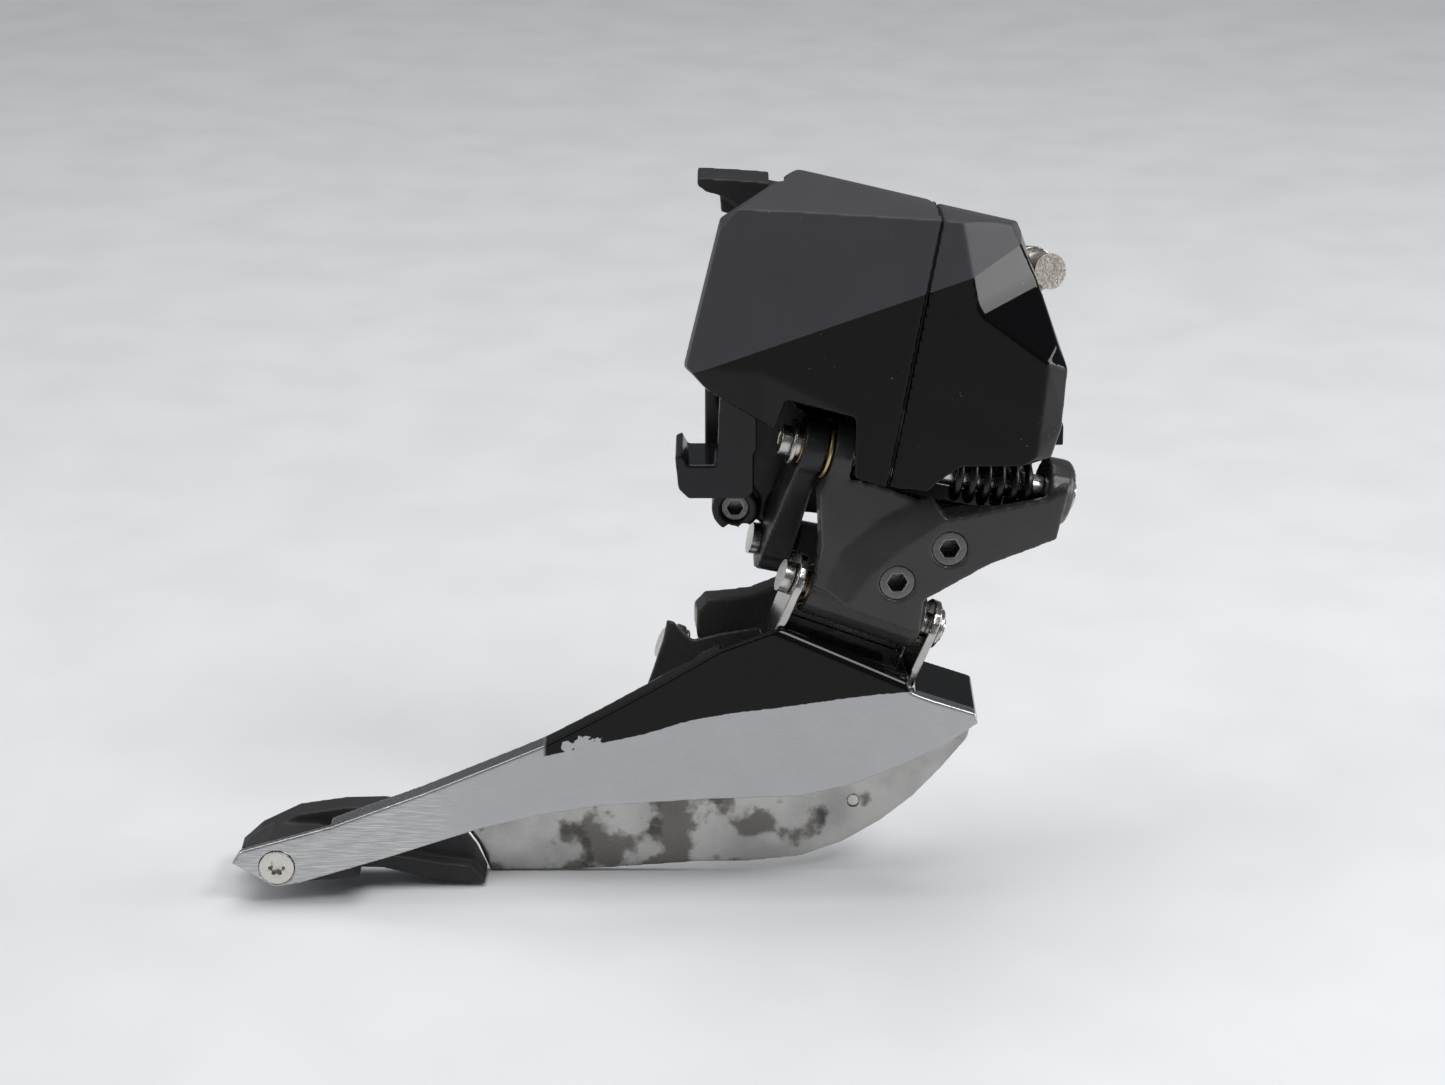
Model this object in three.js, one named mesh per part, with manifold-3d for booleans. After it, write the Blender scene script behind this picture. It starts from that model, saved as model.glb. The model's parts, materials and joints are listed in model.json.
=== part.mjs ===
// A wireless front derailleur for a braze-on hanger. Millimetres, +X forward along the bicycle,
// +Y inboard toward the seat tube, +Z up. The origin is the centre of the hanger seat.
import * as THREE from 'three';
import { ConvexGeometry } from 'three/addons/geometries/ConvexGeometry.js';
import { mergeVertices } from 'three/addons/utils/BufferGeometryUtils.js';
import Module from 'manifold-3d';

const wasm = await Module();
wasm.setup();

// ---------- driving dimensions ----------
const RAD = Math.PI / 180;
const PIVOT_YAW = 7 * RAD; // all four pivots run slightly inboard toward the front
const UPPER_TILT = 13.8 * RAD; // upper pivots dip toward the front
const LOWER_TILT = 22.3 * RAD; // lower pivots dip more
const PIVOT_X = 20; // station where each pivot's centre is given
const UPPER_OUTER = [PIVOT_X, 9.4, 12.4];
const LOWER_OUTER = [PIVOT_X, 10.6, -10.1];
const UPPER_INNER = [PIVOT_X, 24, -8.3];
const LOWER_INNER = [PIVOT_X, 25.2, -32.3];

const SEAT = [40.5, 24, 35.3]; // hanger seat centre, measured from the housing's outer face
const SEAT_YAW = 27 * RAD; // the seat faces inboard and rearward
const SEAT_PITCH = 12 * RAD; // and slightly down
const SEAT_BOLT_RADIUS = 2.5;
const BOLT_HEAD = 2.5; // height of the bolt's low head
const HANGER_GAP = 3.7; // room for the hanger plate between the seat and the curved washer
const WASHER_RADIUS = 17; // curve of the washer's back

const HOUSING_BACK = 22.2; // depth where the housing meets the base frame
const HOUSING_WALL = 1.5;
const SCOOP_CORNER = [34.6, 0, 36]; // where the scoop's two faces would meet on the front face
const SCOOP_RADIUS = 4; // of the valley between them
const NOTCH_FRONT = 18.2;
const LATCH_PIVOT = [6.2, 45.2];
const SUPPORT_SCREW = [1.8, 0.4];
const HOUSING_SCREWS = [[14.5, 44], [10, 29], [41, 22]];
const TRAY_SCREWS = [[0.6, 9.2], [0.6, 16.2]];
const FAR = 80; // beyond the part
const SEAM_GAP = 0.3;
const FRAME_FRONT = 22.4;
const FRAME_BACK = 26.4;

const SHAFT_RADIUS = 2;
const PIN_RADIUS = 1.8;
const RUNNING_GAP = 0.12; // radial gap of a pin in its bushing
const OPEN_PIVOT_GAP = 0.3; // radial gap where the linkage is opened

const LIMIT_SCREWS = { limit_screw_high: [31, 0.1], limit_screw_low: [23.7, -4.6] };
const BAR_FACE = -6; // depth of the raised bar's face in the level frame of the outer link

const PLATE_THICKNESS = 1.2;
const OUTER_PLATE_FACE = 4.4;
const SHOULDER_TOP = [8.2, 4.4, -11.5]; // where the plate's sloping shoulder starts
const SHOULDER_SLOPE = 24.3 * RAD;
const SHOULDER_ROLL = 1.6; // radius of the fold along the shoulder
const INNER_PLATE_FACE = 16.4;
const TAIL_SCREW = [-63.9, -48.3];
const EAR_RIVETS = [[-6.5, -1], [2, -1]]; // along and across the lower outer pivot
const BRIDGE_RIVETS = [[30.2, -26.4], [33.9, -27.2]];
const BRACKET_RIVETS = [[-6.5, -32], [6, -39.5], [19, -43]];

const TOOTH_MODULE = 0.4;
const SECTOR_TEETH = 60;
const WHEEL_TWO_TEETH = 36;
const WHEEL_ONE_TEETH = 30;
const PINION_TEETH = 12;
const MOTOR_PINION_TEETH = 10;

// ---------- materials ----------
const matte = (color, roughness, metalness) =>
  new THREE.MeshStandardMaterial({ color, roughness, metalness });
const charcoalShell = () => matte(0x3a3a40, 0.5, 0.1);
const blackPaint = () => matte(0x18181a, 0.4, 0.4);
const linkBlack = () => matte(0x2c2b2b, 0.45, 0.5);
const satinAluminium = () => matte(0xa2a4a8, 0.38, 0.9);
const polishedSteel = () => matte(0xb4b1aa, 0.28, 1);
const pinSteel = () => matte(0xc0bcb2, 0.3, 1);
const screwBlack = () => matte(0x232323, 0.35, 0.8);
const bronze = () => matte(0x8f6c42, 0.4, 0.9);
const brass = () => matte(0xb99a56, 0.35, 0.9);
const blackPlastic = () => matte(0x202123, 0.6, 0);
const rubber = () => matte(0x101011, 0.9, 0);
const boardGreen = () => matte(0x1d4a2c, 0.6, 0);
const goldContact = () => matte(0xc9a24a, 0.3, 1);

// ---------- shapes ----------
const ALONG_X = new THREE.Matrix4().makeBasis(
  new THREE.Vector3(0, 1, 0),
  new THREE.Vector3(0, 0, 1),
  new THREE.Vector3(1, 0, 0),
);
const ACROSS_Y = new THREE.Matrix4().makeBasis(
  new THREE.Vector3(1, 0, 0),
  new THREE.Vector3(0, 0, 1),
  new THREE.Vector3(0, -1, 0),
);

function solidOf(geometry) {
  const bare = geometry.clone();
  bare.deleteAttribute('normal');
  bare.deleteAttribute('uv');
  const merged = mergeVertices(bare, 1e-4);
  return new wasm.Manifold(
    new wasm.Mesh({
      numProp: 3,
      vertProperties: new Float32Array(merged.attributes.position.array),
      triVerts: new Uint32Array(merged.index.array),
    }),
  );
}

function geometryOf(solid) {
  const mesh = solid.getMesh();
  const geometry = new THREE.BufferGeometry();
  geometry.setAttribute('position', new THREE.BufferAttribute(new Float32Array(mesh.vertProperties), 3));
  geometry.setIndex(new THREE.BufferAttribute(new Uint32Array(mesh.triVerts), 1));
  geometry.computeVertexNormals();
  return geometry;
}

function shapeOf(points) {
  const shape = new THREE.Shape();
  shape.setFromPoints(points.map(([a, b]) => new THREE.Vector2(a, b)));
  return shape;
}

function extruded(shape, depth, basis, shift) {
  const geometry = new THREE.ExtrudeGeometry(shape, { depth, bevelEnabled: false, curveSegments: 6 });
  geometry.applyMatrix4(basis);
  geometry.translate(...shift);
  return solidOf(geometry);
}

// An outline in (x, z) filled from one depth to another.
const slab = (points, yFrom, yTo) => extruded(shapeOf(points), yTo - yFrom, ACROSS_Y, [0, yTo, 0]);
// An outline in (y, z) filled along x.
const profile = (points, xFrom, xTo) => extruded(shapeOf(points), xTo - xFrom, ALONG_X, [xFrom, 0, 0]);
const hull = (points) => solidOf(new ConvexGeometry(points.map((p) => new THREE.Vector3(...p))));

function box(low, high) {
  const size = high.map((value, i) => value - low[i]);
  const geometry = new THREE.BoxGeometry(...size);
  geometry.translate(...low.map((value, i) => value + size[i] / 2));
  return solidOf(geometry);
}

function ring(radius, count, x, centre = [0, 0]) {
  const points = [];
  for (let i = 0; i < count; i += 1) {
    const angle = (2 * Math.PI * i) / count;
    points.push([x, centre[0] + radius * Math.cos(angle), centre[1] + radius * Math.sin(angle)]);
  }
  return points;
}

// A round bar along local x.
function rod(radius, from, to, centre = [0, 0], sides = 16) {
  const geometry = new THREE.CylinderGeometry(radius, radius, to - from, sides);
  geometry.rotateZ(-Math.PI / 2);
  geometry.translate((from + to) / 2, ...centre);
  return solidOf(geometry);
}
const sleeve = (outer, inner, from, to, sides = 16) =>
  rod(outer, from, to, [0, 0], sides).subtract(rod(inner, from - 1, to + 1, [0, 0], sides));

// A turned part: [x, radius] steps from the left end to the right, closed on the axis.
function turned(steps, sides = 16) {
  const points = steps.map(([x, radius]) => new THREE.Vector2(radius, x));
  const closed = [new THREE.Vector2(0, steps[0][0]), ...points, new THREE.Vector2(0, steps.at(-1)[0])];
  const geometry = new THREE.LatheGeometry(closed, sides);
  geometry.rotateZ(-Math.PI / 2);
  return solidOf(geometry);
}

const union = (...solids) => solids.reduce((all, next) => all.add(next));
const moved = (solid, matrix) => solid.transform(matrix.elements);

// ---------- pivot frames: local x runs along the pivot ----------
function pivotFrame(centre, tilt) {
  const turn = new THREE.Euler(0, tilt, PIVOT_YAW, 'ZYX');
  return new THREE.Matrix4().makeRotationFromEuler(turn).setPosition(...centre);
}
const upperOuter = pivotFrame(UPPER_OUTER, UPPER_TILT);
const lowerOuter = pivotFrame(LOWER_OUTER, LOWER_TILT);
const upperInner = pivotFrame(UPPER_INNER, UPPER_TILT);
const lowerInner = pivotFrame(LOWER_INNER, LOWER_TILT);
const yawed = (centre) => pivotFrame(centre, 0); // level frame in line with the pivots
const outerYawed = yawed([PIVOT_X, UPPER_OUTER[1], 0]);
const innerYawed = yawed([PIVOT_X, UPPER_INNER[1], 0]);
const upperStation = (x) => (x - PIVOT_X) / (Math.cos(UPPER_TILT) * Math.cos(PIVOT_YAW));
const lowerStation = (x) => (x - PIVOT_X) / (Math.cos(LOWER_TILT) * Math.cos(PIVOT_YAW));
const yawedX = ([x, z]) => [(x - PIVOT_X) / Math.cos(PIVOT_YAW), z];

// Local x points out of the hanger seat, the way the bolt is put in from.
const seatFrame = new THREE.Matrix4()
  .makeRotationFromEuler(new THREE.Euler(0, SEAT_PITCH, Math.PI / 2 + SEAT_YAW, 'ZYX'))
  .setPosition(...SEAT);

// ---------- scene ----------
const derailleur = new THREE.Group();
derailleur.name = 'front_derailleur';
const stance = new THREE.Group();
stance.position.set(...SEAT.map((value) => -value));
derailleur.add(stance);

function groupOn(frame) {
  const group = new THREE.Group();
  frame.decompose(group.position, group.quaternion, group.scale);
  stance.add(group);
  return group;
}
const onUpperOuter = groupOn(upperOuter);
const onLowerOuter = groupOn(lowerOuter);
const onUpperInner = groupOn(upperInner);
const onLowerInner = groupOn(lowerInner);
const onOuterLink = groupOn(outerYawed);
const onSeat = groupOn(seatFrame);

function put(parent, name, solid, material) {
  const mesh = new THREE.Mesh(geometryOf(solid), material);
  mesh.name = name;
  parent.add(mesh);
}

// ---------- fixed body ----------
// A half space: everything on the side of the plane that its normal points to.
function halfSpace(point, normal) {
  const turn = new THREE.Quaternion().setFromUnitVectors(new THREE.Vector3(1, 0, 0), normal);
  const place = new THREE.Matrix4().makeRotationFromQuaternion(turn).setPosition(point);
  return moved(box([0, -FAR, -FAR], [FAR, FAR, FAR]), place);
}
const direction = (x, y, z) => new THREE.Vector3(x, y, z).normalize();

// The scooped upper front corner: a tapered side face that rolls into the top of the lower block.
function scoopTool(grow) {
  const side = direction(0.72, -0.67, 0.14);
  const ramp = direction(0.495, -0.56, 0.66);
  const along = new THREE.Vector3().crossVectors(side, ramp).normalize();
  const inSide = new THREE.Vector3().crossVectors(along, side);
  const inRamp = new THREE.Vector3().crossVectors(ramp, along);
  const half = inSide.angleTo(inRamp) / 2;
  const bisector = inSide.clone().add(inRamp).normalize();
  const corner = new THREE.Vector3(...SCOOP_CORNER).addScaledVector(bisector, -grow / Math.sin(half));
  const centre = corner.clone().addScaledVector(bisector, SCOOP_RADIUS / Math.sin(half));
  const points = [];
  for (const end of [-FAR, FAR]) {
    const steps = 8;
    for (let i = 0; i <= steps; i += 1) {
      const towards = side.clone().lerp(ramp, i / steps).normalize();
      points.push(centre.clone().addScaledVector(towards, -SCOOP_RADIUS).addScaledVector(along, end));
    }
    for (const [a, b] of [[FAR, 0], [0, FAR], [FAR, FAR]]) {
      points.push(corner.clone().addScaledVector(inSide, a).addScaledVector(inRamp, b).addScaledVector(along, end));
    }
  }
  return hull(points.map((point) => point.toArray()));
}

// The facets under the front face's lower rear edge, left of the notch.
function facetTool(grow) {
  const lift = (point) => point.clone().add(new THREE.Vector3(0, grow, grow * 0.6));
  const planeThrough = ([a, b, c]) => {
    const [p, q, r] = [a, b, c].map((point) => new THREE.Vector3(...point));
    const normal = new THREE.Vector3().crossVectors(q.sub(p), r.sub(p)).normalize().negate();
    return halfSpace(lift(p), normal);
  };
  const front = planeThrough([[5.4, 0, 27.4], [18.7, 0, 20.8], [6.6, 6, 16]]);
  const rear = planeThrough([[-2.4, 0, 27.9], [5.4, 0, 27.4], [0.6, 3, 22.2]]);
  return front.intersect(rear).intersect(box([-20, -5, 0], [NOTCH_FRONT, 20, 40]));
}

// Cuts that give the housing its scooped corner, its facets, its notch and its spring relief.
function housingCuts(grow) {
  const notch = slab([[5.5 - grow, 0], [5.5 - grow, 10], [7 - grow, 16.3], [8.8 - grow, 22.9 + grow],
    [NOTCH_FRONT + grow, 20.8 + grow], [NOTCH_FRONT + grow, 0]], -5, 14 + grow);
  const springRelief = slab([[28.4 - grow, 10], [28.4, 10.6 + grow], [32.4, 13.7 + grow], [60, 14.5 + grow],
    [60, 0], [28.4, 0]], -5, 40);
  const springTube = moved(rod(5.2 + grow, upperStation(30.6) - grow, upperStation(52)), upperOuter);
  const seatPocket = box([29.6 - grow, 14.4 - grow, 26.5 - grow], [FAR, FAR, FAR]);
  const lugSpace = moved(rod(4.9 + grow, upperStation(14) - grow, upperStation(18.1) + grow), upperOuter);
  const boltSpace = moved(rod(2.8 + grow, -14 - grow, 0), seatFrame);
  return union(scoopTool(grow), facetTool(grow), notch, springRelief, springTube, seatPocket, lugSpace, boltSpace);
}

function housingHull(inset, back) {
  const lowX = -5.4;
  const highX = 47.2;
  const lowZ = 10.2;
  const highZ = 51;
  const shrink = (value, low, high) => {
    const middle = (low + high) / 2;
    return middle + (value - middle) * (1 - (2 * inset) / (high - low));
  };
  const front = [[-4.9, 28.2], [-0.1, 48], [2, 50.4], [10.8, 50], [29.1, 48.9], [36, 48.2], [44.2, 28.9],
    [42.9, 15.2], [36, 10.6], [28.6, 10.2], [22, 10.9], [6, 16.2]];
  const edge = [[-5.4, 27.4], [-0.4, 48.3], [47.2, 26.9], [46.6, 18.5], [45.2, 13.9], [38.6, 47.4]];
  const middle = [[40.6, 44.8], [44.3, 33.4], [29.4, 47.4], [8, 49.8], [46.4, 24], [45.4, 13]];
  const rear = [[5.9, 27], [10.2, 50.2], [30, 45.4], [41.2, 42.8], [44.6, 30], [44.2, 16], [30, 12.5], [14, 17.5]];
  const at = (outline, y) =>
    outline.map(([x, z]) => [shrink(x, lowX, highX), y, shrink(z, lowZ, highZ)]);
  return hull([...at(front, inset), ...at(edge, 3.2 + inset / 2), ...at(middle, 14.4), ...at(rear, back)]);
}

const gearArmSpace = box([17.2, 2, 2], [30.6, 30, 20]);
// Room for the latch's barrel, and behind it for the bar that swings up over the barrel.
const latchSpace = (grow) => slab(circle(2.6 + grow, ...LATCH_PIVOT, 16), 14.4 - grow, 30)
  .add(slab(circle(5.3 + grow, ...LATCH_PIVOT, 20), 15.6 - grow, 30));

function circle(radius, x, z, sides = 18) {
  const points = [];
  for (let i = 0; i < sides; i += 1) {
    const angle = (2 * Math.PI * i) / sides;
    points.push([x + radius * Math.cos(angle), z + radius * Math.sin(angle)]);
  }
  return points;
}

function housingShell() {
  const outside = housingHull(0, HOUSING_BACK).subtract(housingCuts(0)).subtract(latchSpace(0));
  const inside = housingHull(HOUSING_WALL, HOUSING_BACK + 1)
    .subtract(housingCuts(HOUSING_WALL))
    .subtract(latchSpace(HOUSING_WALL));
  const contactWindow = box([-1, 8, 31], [9, 16, 39]);
  return outside.subtract(inside).subtract(gearArmSpace).subtract(contactWindow);
}

// The seam leans forward as it rises; local x of this frame is across the seam.
const SEAM_LEAN = 10.2 * RAD;
const seamFrame = new THREE.Matrix4()
  .makeRotationFromEuler(new THREE.Euler(0, SEAM_LEAN, 0))
  .setPosition(26, 0, 29);
const seamSlab = (from, to) => moved(box([from, -40, -60], [to, 60, 60]), seamFrame);
const largestPiece = (solid) => solid.decompose().sort((a, b) => b.volume() - a.volume())[0];

function buildHousing() {
  const shell = housingShell();
  const buttonHole = box([41, 6.9, 13.9], [50, 10.1, 18.1]);
  const rearShell = shell.intersect(seamSlab(-80, -SEAM_GAP / 2));
  const frontShell = shell.intersect(seamSlab(SEAM_GAP / 2, 80)).subtract(buttonHole);
  put(stance, 'housing_rear', largestPiece(rearShell), charcoalShell());
  put(stance, 'housing_front', largestPiece(frontShell), charcoalShell());
  const groove = 0.5;
  const liner = housingHull(groove, HOUSING_BACK - 0.2)
    .subtract(housingHull(HOUSING_WALL - groove, HOUSING_BACK + 1))
    .subtract(housingCuts(HOUSING_WALL))
    .subtract(gearArmSpace)
    .intersect(seamSlab(-0.1, 0.1))
    .intersect(box([0, -5, 22], [60, 21, 60]).add(box([0, -5, 5], [60, 1.9, 22.5])));
  put(stance, 'housing_gasket', largestPiece(liner), rubber());
}

function buildBaseFrame() {
  const backPlate = [[6.6, 27.4], [11.4, 47.4], [30, 43.4], [38.4, 41.4], [43.9, 30], [43.9, 17], [44.4, 8],
    [43.6, -1.6], [30, -3], [28.4, -9.6], [24.5, -9.6], [24.3, -2.4], [9.5, -0.4], [5.4, -4], [4.4, 4],
    [-2.5, 5.5], [-2.5, 20]];
  const plate = slab(backPlate, FRAME_FRONT, FRAME_BACK);
  const rearLug = rod(4, upperStation(10.7), upperStation(13.9));
  const leftInnerLug = rod(4.2, upperStation(5.4), upperStation(9.4));
  const rightInnerLug = moved(rod(4, upperStation(24.5), upperStation(28.4)), upperInner);
  const legTop = ring(3.6, 8, upperStation(10.7)).concat(ring(3.6, 8, upperStation(13.5)));
  const legFoot = ring(3.8, 8, upperStation(5.4)).concat(ring(3.8, 8, upperStation(9.4)));
  const place = (points, frame) =>
    points.map((p) => new THREE.Vector3(...p).applyMatrix4(frame).toArray());
  const leg = hull([...place(legTop, upperOuter), ...place(legFoot, upperInner)]);
  const linkSpace = box([12.6, 0, -20], [20, 17, 9.5]);
  const gearArm = (from, to) => {
    const lug = moved(rod(3.9, upperStation(from), upperStation(to)), upperOuter);
    const arm = moved(box([upperStation(from), 0.4, -2.8], [upperStation(to), 14.2, 3]), upperOuter);
    return lug.add(arm);
  };
  const seatBlock = slab([[30.4, 29.4], [41.4, 29.4], [43.2, 32], [41.8, 38.6], [38.6, 41.6], [30.4, 43.2]],
    15, FRAME_BACK);
  const beyondSeat = moved(box([0, -20, -12], [30, 8.4, 14]), seatFrame);
  const latchLug = slab(circle(2.4, ...LATCH_PIVOT, 18), 23, FRAME_BACK);
  const latchRoot = slab([[6.2, 42.8], [12, 40], [12, 46.6], [6.2, 47.6]], 23, FRAME_BACK);
  const supportBoss = slab(circle(3.4, ...SUPPORT_SCREW, 14), 20.5, FRAME_BACK);
  const supportWeb = slab([[-1, 1], [4, -2.5], [7, 0], [6, 8], [0, 8]], FRAME_FRONT, FRAME_BACK);
  const body = union(
    plate, moved(rearLug, upperOuter), moved(leftInnerLug, upperInner), rightInnerLug,
    leg.subtract(linkSpace), gearArm(18.1, 19.9), gearArm(24.4, 26.2), seatBlock,
    latchLug, latchRoot, supportBoss, supportWeb,
  );
  const shaftBore = moved(rod(2.9, upperStation(8), upperStation(30)), upperOuter);
  const innerPinBore = moved(rod(PIN_RADIUS + 0.02, upperStation(0), upperStation(40)), upperInner);
  const seatBore = moved(rod(3.4, -20, 5), seatFrame);
  const barrelSpace = moved(rod(4.7, upperStation(9.5), upperStation(24.4)), upperInner);
  const latchBore = slab(circle(1.02, ...LATCH_PIVOT, 16), 0, 40);
  const supportBore = slab(circle(2.06, ...SUPPORT_SCREW, 14), 0, 40);
  const linkLugSpace = moved(rod(4.6, upperStation(14), upperStation(18)), upperOuter);
  const pinHeadSpace = moved(rod(2.6, upperStation(2), upperStation(5.3)), upperInner);
  const screwBores = union(...HOUSING_SCREWS.map(([x, z]) => screwHole(x, z)));
  const traySlots = union(...TRAY_SCREWS.map(([x, z]) => screwHole(x, z)));
  const frame = body.subtract(beyondSeat).subtract(shaftBore).subtract(innerPinBore).subtract(seatBore)
    .subtract(barrelSpace).subtract(linkLugSpace).subtract(pinHeadSpace).subtract(latchBore)
    .subtract(supportBore).subtract(screwBores).subtract(traySlots);
  put(stance, 'base_frame', frame, blackPaint());
}

const screwHole = (x, z) =>
  slab(circle(1.05, x, z, 12), 15, 40).add(slab(circle(1.95, x, z, 12), FRAME_BACK - 1.2, 40));

function rearScrew(name, x, z, tip) {
  const head = slab(circle(1.85, x, z, 12), FRAME_BACK - 1.15, FRAME_BACK + 0.2);
  const shank = slab(circle(1, x, z, 12), tip, FRAME_BACK - 1);
  const socket = slab(circle(0.8, x, z, 6), FRAME_BACK - 0.6, FRAME_BACK + 1);
  put(stance, name, head.add(shank).subtract(socket), screwBlack());
}

function buildRearScrews() {
  HOUSING_SCREWS.forEach(([x, z], i) => rearScrew(`housing_screw_${i + 1}`, x, z, FRAME_FRONT + 0.2));
  rearScrew('tray_screw_lower', ...TRAY_SCREWS[0], 18.5);
  rearScrew('tray_screw_upper', ...TRAY_SCREWS[1], 18.5);
}

function buildBatteryTray() {
  const tray = slab([[-6.7, 11.2], [-6.2, 6.4], [-4.8, 5], [3.4, 5], [4.8, 6.4], [4.8, 21], [3.2, 22.5],
    [1.6, 22.5], [-0.4, 20], [-0.8, 10], [-4.9, 10], [-5.7, 11.6]], 12.2, FRAME_FRONT - 0.1);
  const screwBores = union(...TRAY_SCREWS.map(([x, z]) => slab(circle(1.02, x, z, 12), 18, 40)));
  const legSpace = box([4.4, 0, 0], [10, 40, 12]);
  put(stance, 'battery_tray', tray.subtract(screwBores).subtract(legSpace), blackPlastic());
}

function buildContacts() {
  const block = hull([[1.2, 8.4, 31.4], [1.2, 8.4, 38.6], [5.8, 15.6, 38.6], [5.8, 15.6, 31.4],
    [4.2, 8.4, 31.4], [4.2, 8.4, 38.6], [8.6, 15.6, 38.6], [8.6, 15.6, 31.4]]);
  const pinAt = (z) => moved(
    rod(0.5, -1.6, 1.6, [0, 0], 10),
    new THREE.Matrix4().makeRotationZ(-32 * RAD).setPosition(3.1, 11.8, z),
  );
  const levels = [32.8, 35, 37.2];
  put(stance, 'contact_block', block.subtract(union(...levels.map(pinAt))), blackPlastic());
  levels.forEach((z, i) => put(stance, `contact_pin_${i + 1}`, pinAt(z), goldContact()));
  const board = slab([[13, 22], [27, 22], [27, 42], [13, 42]], 20.1, 21.2);
  put(stance, 'circuit_board', board, boardGreen());
}

function buildSeat() {
  const insert = sleeve(3.3, SEAT_BOLT_RADIUS + 0.02, -6.5, -0.4);
  put(onSeat, 'mount_insert', insert, pinSteel());
  const headStart = HANGER_GAP + 2;
  const headEnd = headStart + BOLT_HEAD;
  const bolt = turned([[-11, 2.2], [-10.7, SEAT_BOLT_RADIUS], [headStart, SEAT_BOLT_RADIUS],
    [headStart, 3.8], [headEnd - 0.4, 3.8], [headEnd, 3.4]]);
  const socket = rod(2, headEnd - 1.8, headEnd + 1, [0, 0], 6);
  put(onSeat, 'mount_bolt', bolt.subtract(socket), pinSteel());
  const washerArc = [];
  for (let i = -4; i <= 4; i += 1) {
    const angle = 4 * i * RAD;
    washerArc.push([
      HANGER_GAP + 1.9 - WASHER_RADIUS * (1 - Math.cos(angle)),
      WASHER_RADIUS * Math.sin(angle),
    ]);
  }
  const backArc = washerArc.map(([x, z]) => [x - 1.2, z]).reverse();
  const curved = slab([...washerArc, ...backArc], -4.6, 4.6).subtract(rod(SEAT_BOLT_RADIUS + 0.2, 0, 20));
  put(onSeat, 'curved_washer', curved, pinSteel());
}

function buildSupportScrew() {
  const screw = slab(circle(1.98, ...SUPPORT_SCREW, 14), 21.4, 29.5);
  const socket = slab(circle(1.15, ...SUPPORT_SCREW, 6), 20, 23.6);
  put(stance, 'support_screw', screw.subtract(socket), screwBlack());
}

function buildLatch() {
  const barrel = slab(circle(1.9, ...LATCH_PIVOT, 18), 15.2, FRAME_FRONT + 0.3);
  const topBar = slab([[-3.4, 50.4], [-3.5, 49.4], [-2.2, 48.4], [-0.6, 48], [1, 47.2], [5, 43.8],
    [6.4, 46], [6.4, 49.8], [1, 50.2]], 16, 22.2);
  const hook = slab([[-0.4, 48.2], [-0.2, 45.4], [1.9, 45], [3.6, 46.4]], 16.6, 21.6);
  const bore = slab(circle(1 + RUNNING_GAP, ...LATCH_PIVOT, 16), 0, 40);
  put(stance, 'battery_latch', union(barrel, topBar, hook).subtract(bore), blackPlastic());
  const pin = slab(circle(1, ...LATCH_PIVOT, 16), 14.9, FRAME_BACK + 0.2);
  put(stance, 'latch_pin', pin, pinSteel());
}

function buildButton() {
  const cap = box([45, 7.3, 14.6], [47.2, 9.7, 17.4]);
  const stem = box([42.6, 7.6, 15], [45.1, 9.4, 17]);
  put(stance, 'function_button', cap.add(stem), rubber());
}

// ---------- drive ----------
const pitchRadius = (teeth) => (teeth * TOOTH_MODULE) / 2;
// Shaft positions across the drive, from the output shaft: each pair sits one centre distance apart.
const centreDistance = (teethA, teethB) => ((teethA + teethB) * TOOTH_MODULE) / 2;
const besides = ([y, z], distance, stepY, sign) => [y + stepY, z + sign * Math.sqrt(distance ** 2 - stepY ** 2)];
const WHEEL_TWO_AT = besides([0, 0], centreDistance(SECTOR_TEETH, PINION_TEETH), 2.5, 1);
const WHEEL_ONE_AT = besides(WHEEL_TWO_AT, centreDistance(WHEEL_TWO_TEETH, PINION_TEETH), 0, 1);
const MOTOR_AT = besides(WHEEL_ONE_AT, centreDistance(WHEEL_ONE_TEETH, MOTOR_PINION_TEETH), -4.7, -1);
const bearing = (from, to) => Math.atan2(to[1] - from[1], to[0] - from[0]);

// Straight-sided teeth, one of them centred on `toothAngle`, between two angles when given.
function gearOutline(teeth, toothAngle, from = 0, count = teeth) {
  const tipRadius = pitchRadius(teeth) + 0.72 * TOOTH_MODULE;
  const rootRadius = pitchRadius(teeth) - 1.2 * TOOTH_MODULE;
  const halfRoot = (0.62 * TOOTH_MODULE) / rootRadius;
  const halfTip = (0.3 * TOOTH_MODULE) / tipRadius;
  const points = [];
  for (let i = 0; i < count; i += 1) {
    const middle = toothAngle + (2 * Math.PI * (i + from)) / teeth;
    for (const [radius, offset] of [[rootRadius, -halfRoot], [tipRadius, -halfTip],
      [tipRadius, halfTip], [rootRadius, halfRoot]]) {
      points.push([radius * Math.cos(middle + offset), radius * Math.sin(middle + offset)]);
    }
  }
  return points;
}
const atCentre = (points, [y, z]) => points.map(([a, b]) => [a + y, b + z]);
const halfTooth = (teeth) => Math.PI / teeth;

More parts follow.
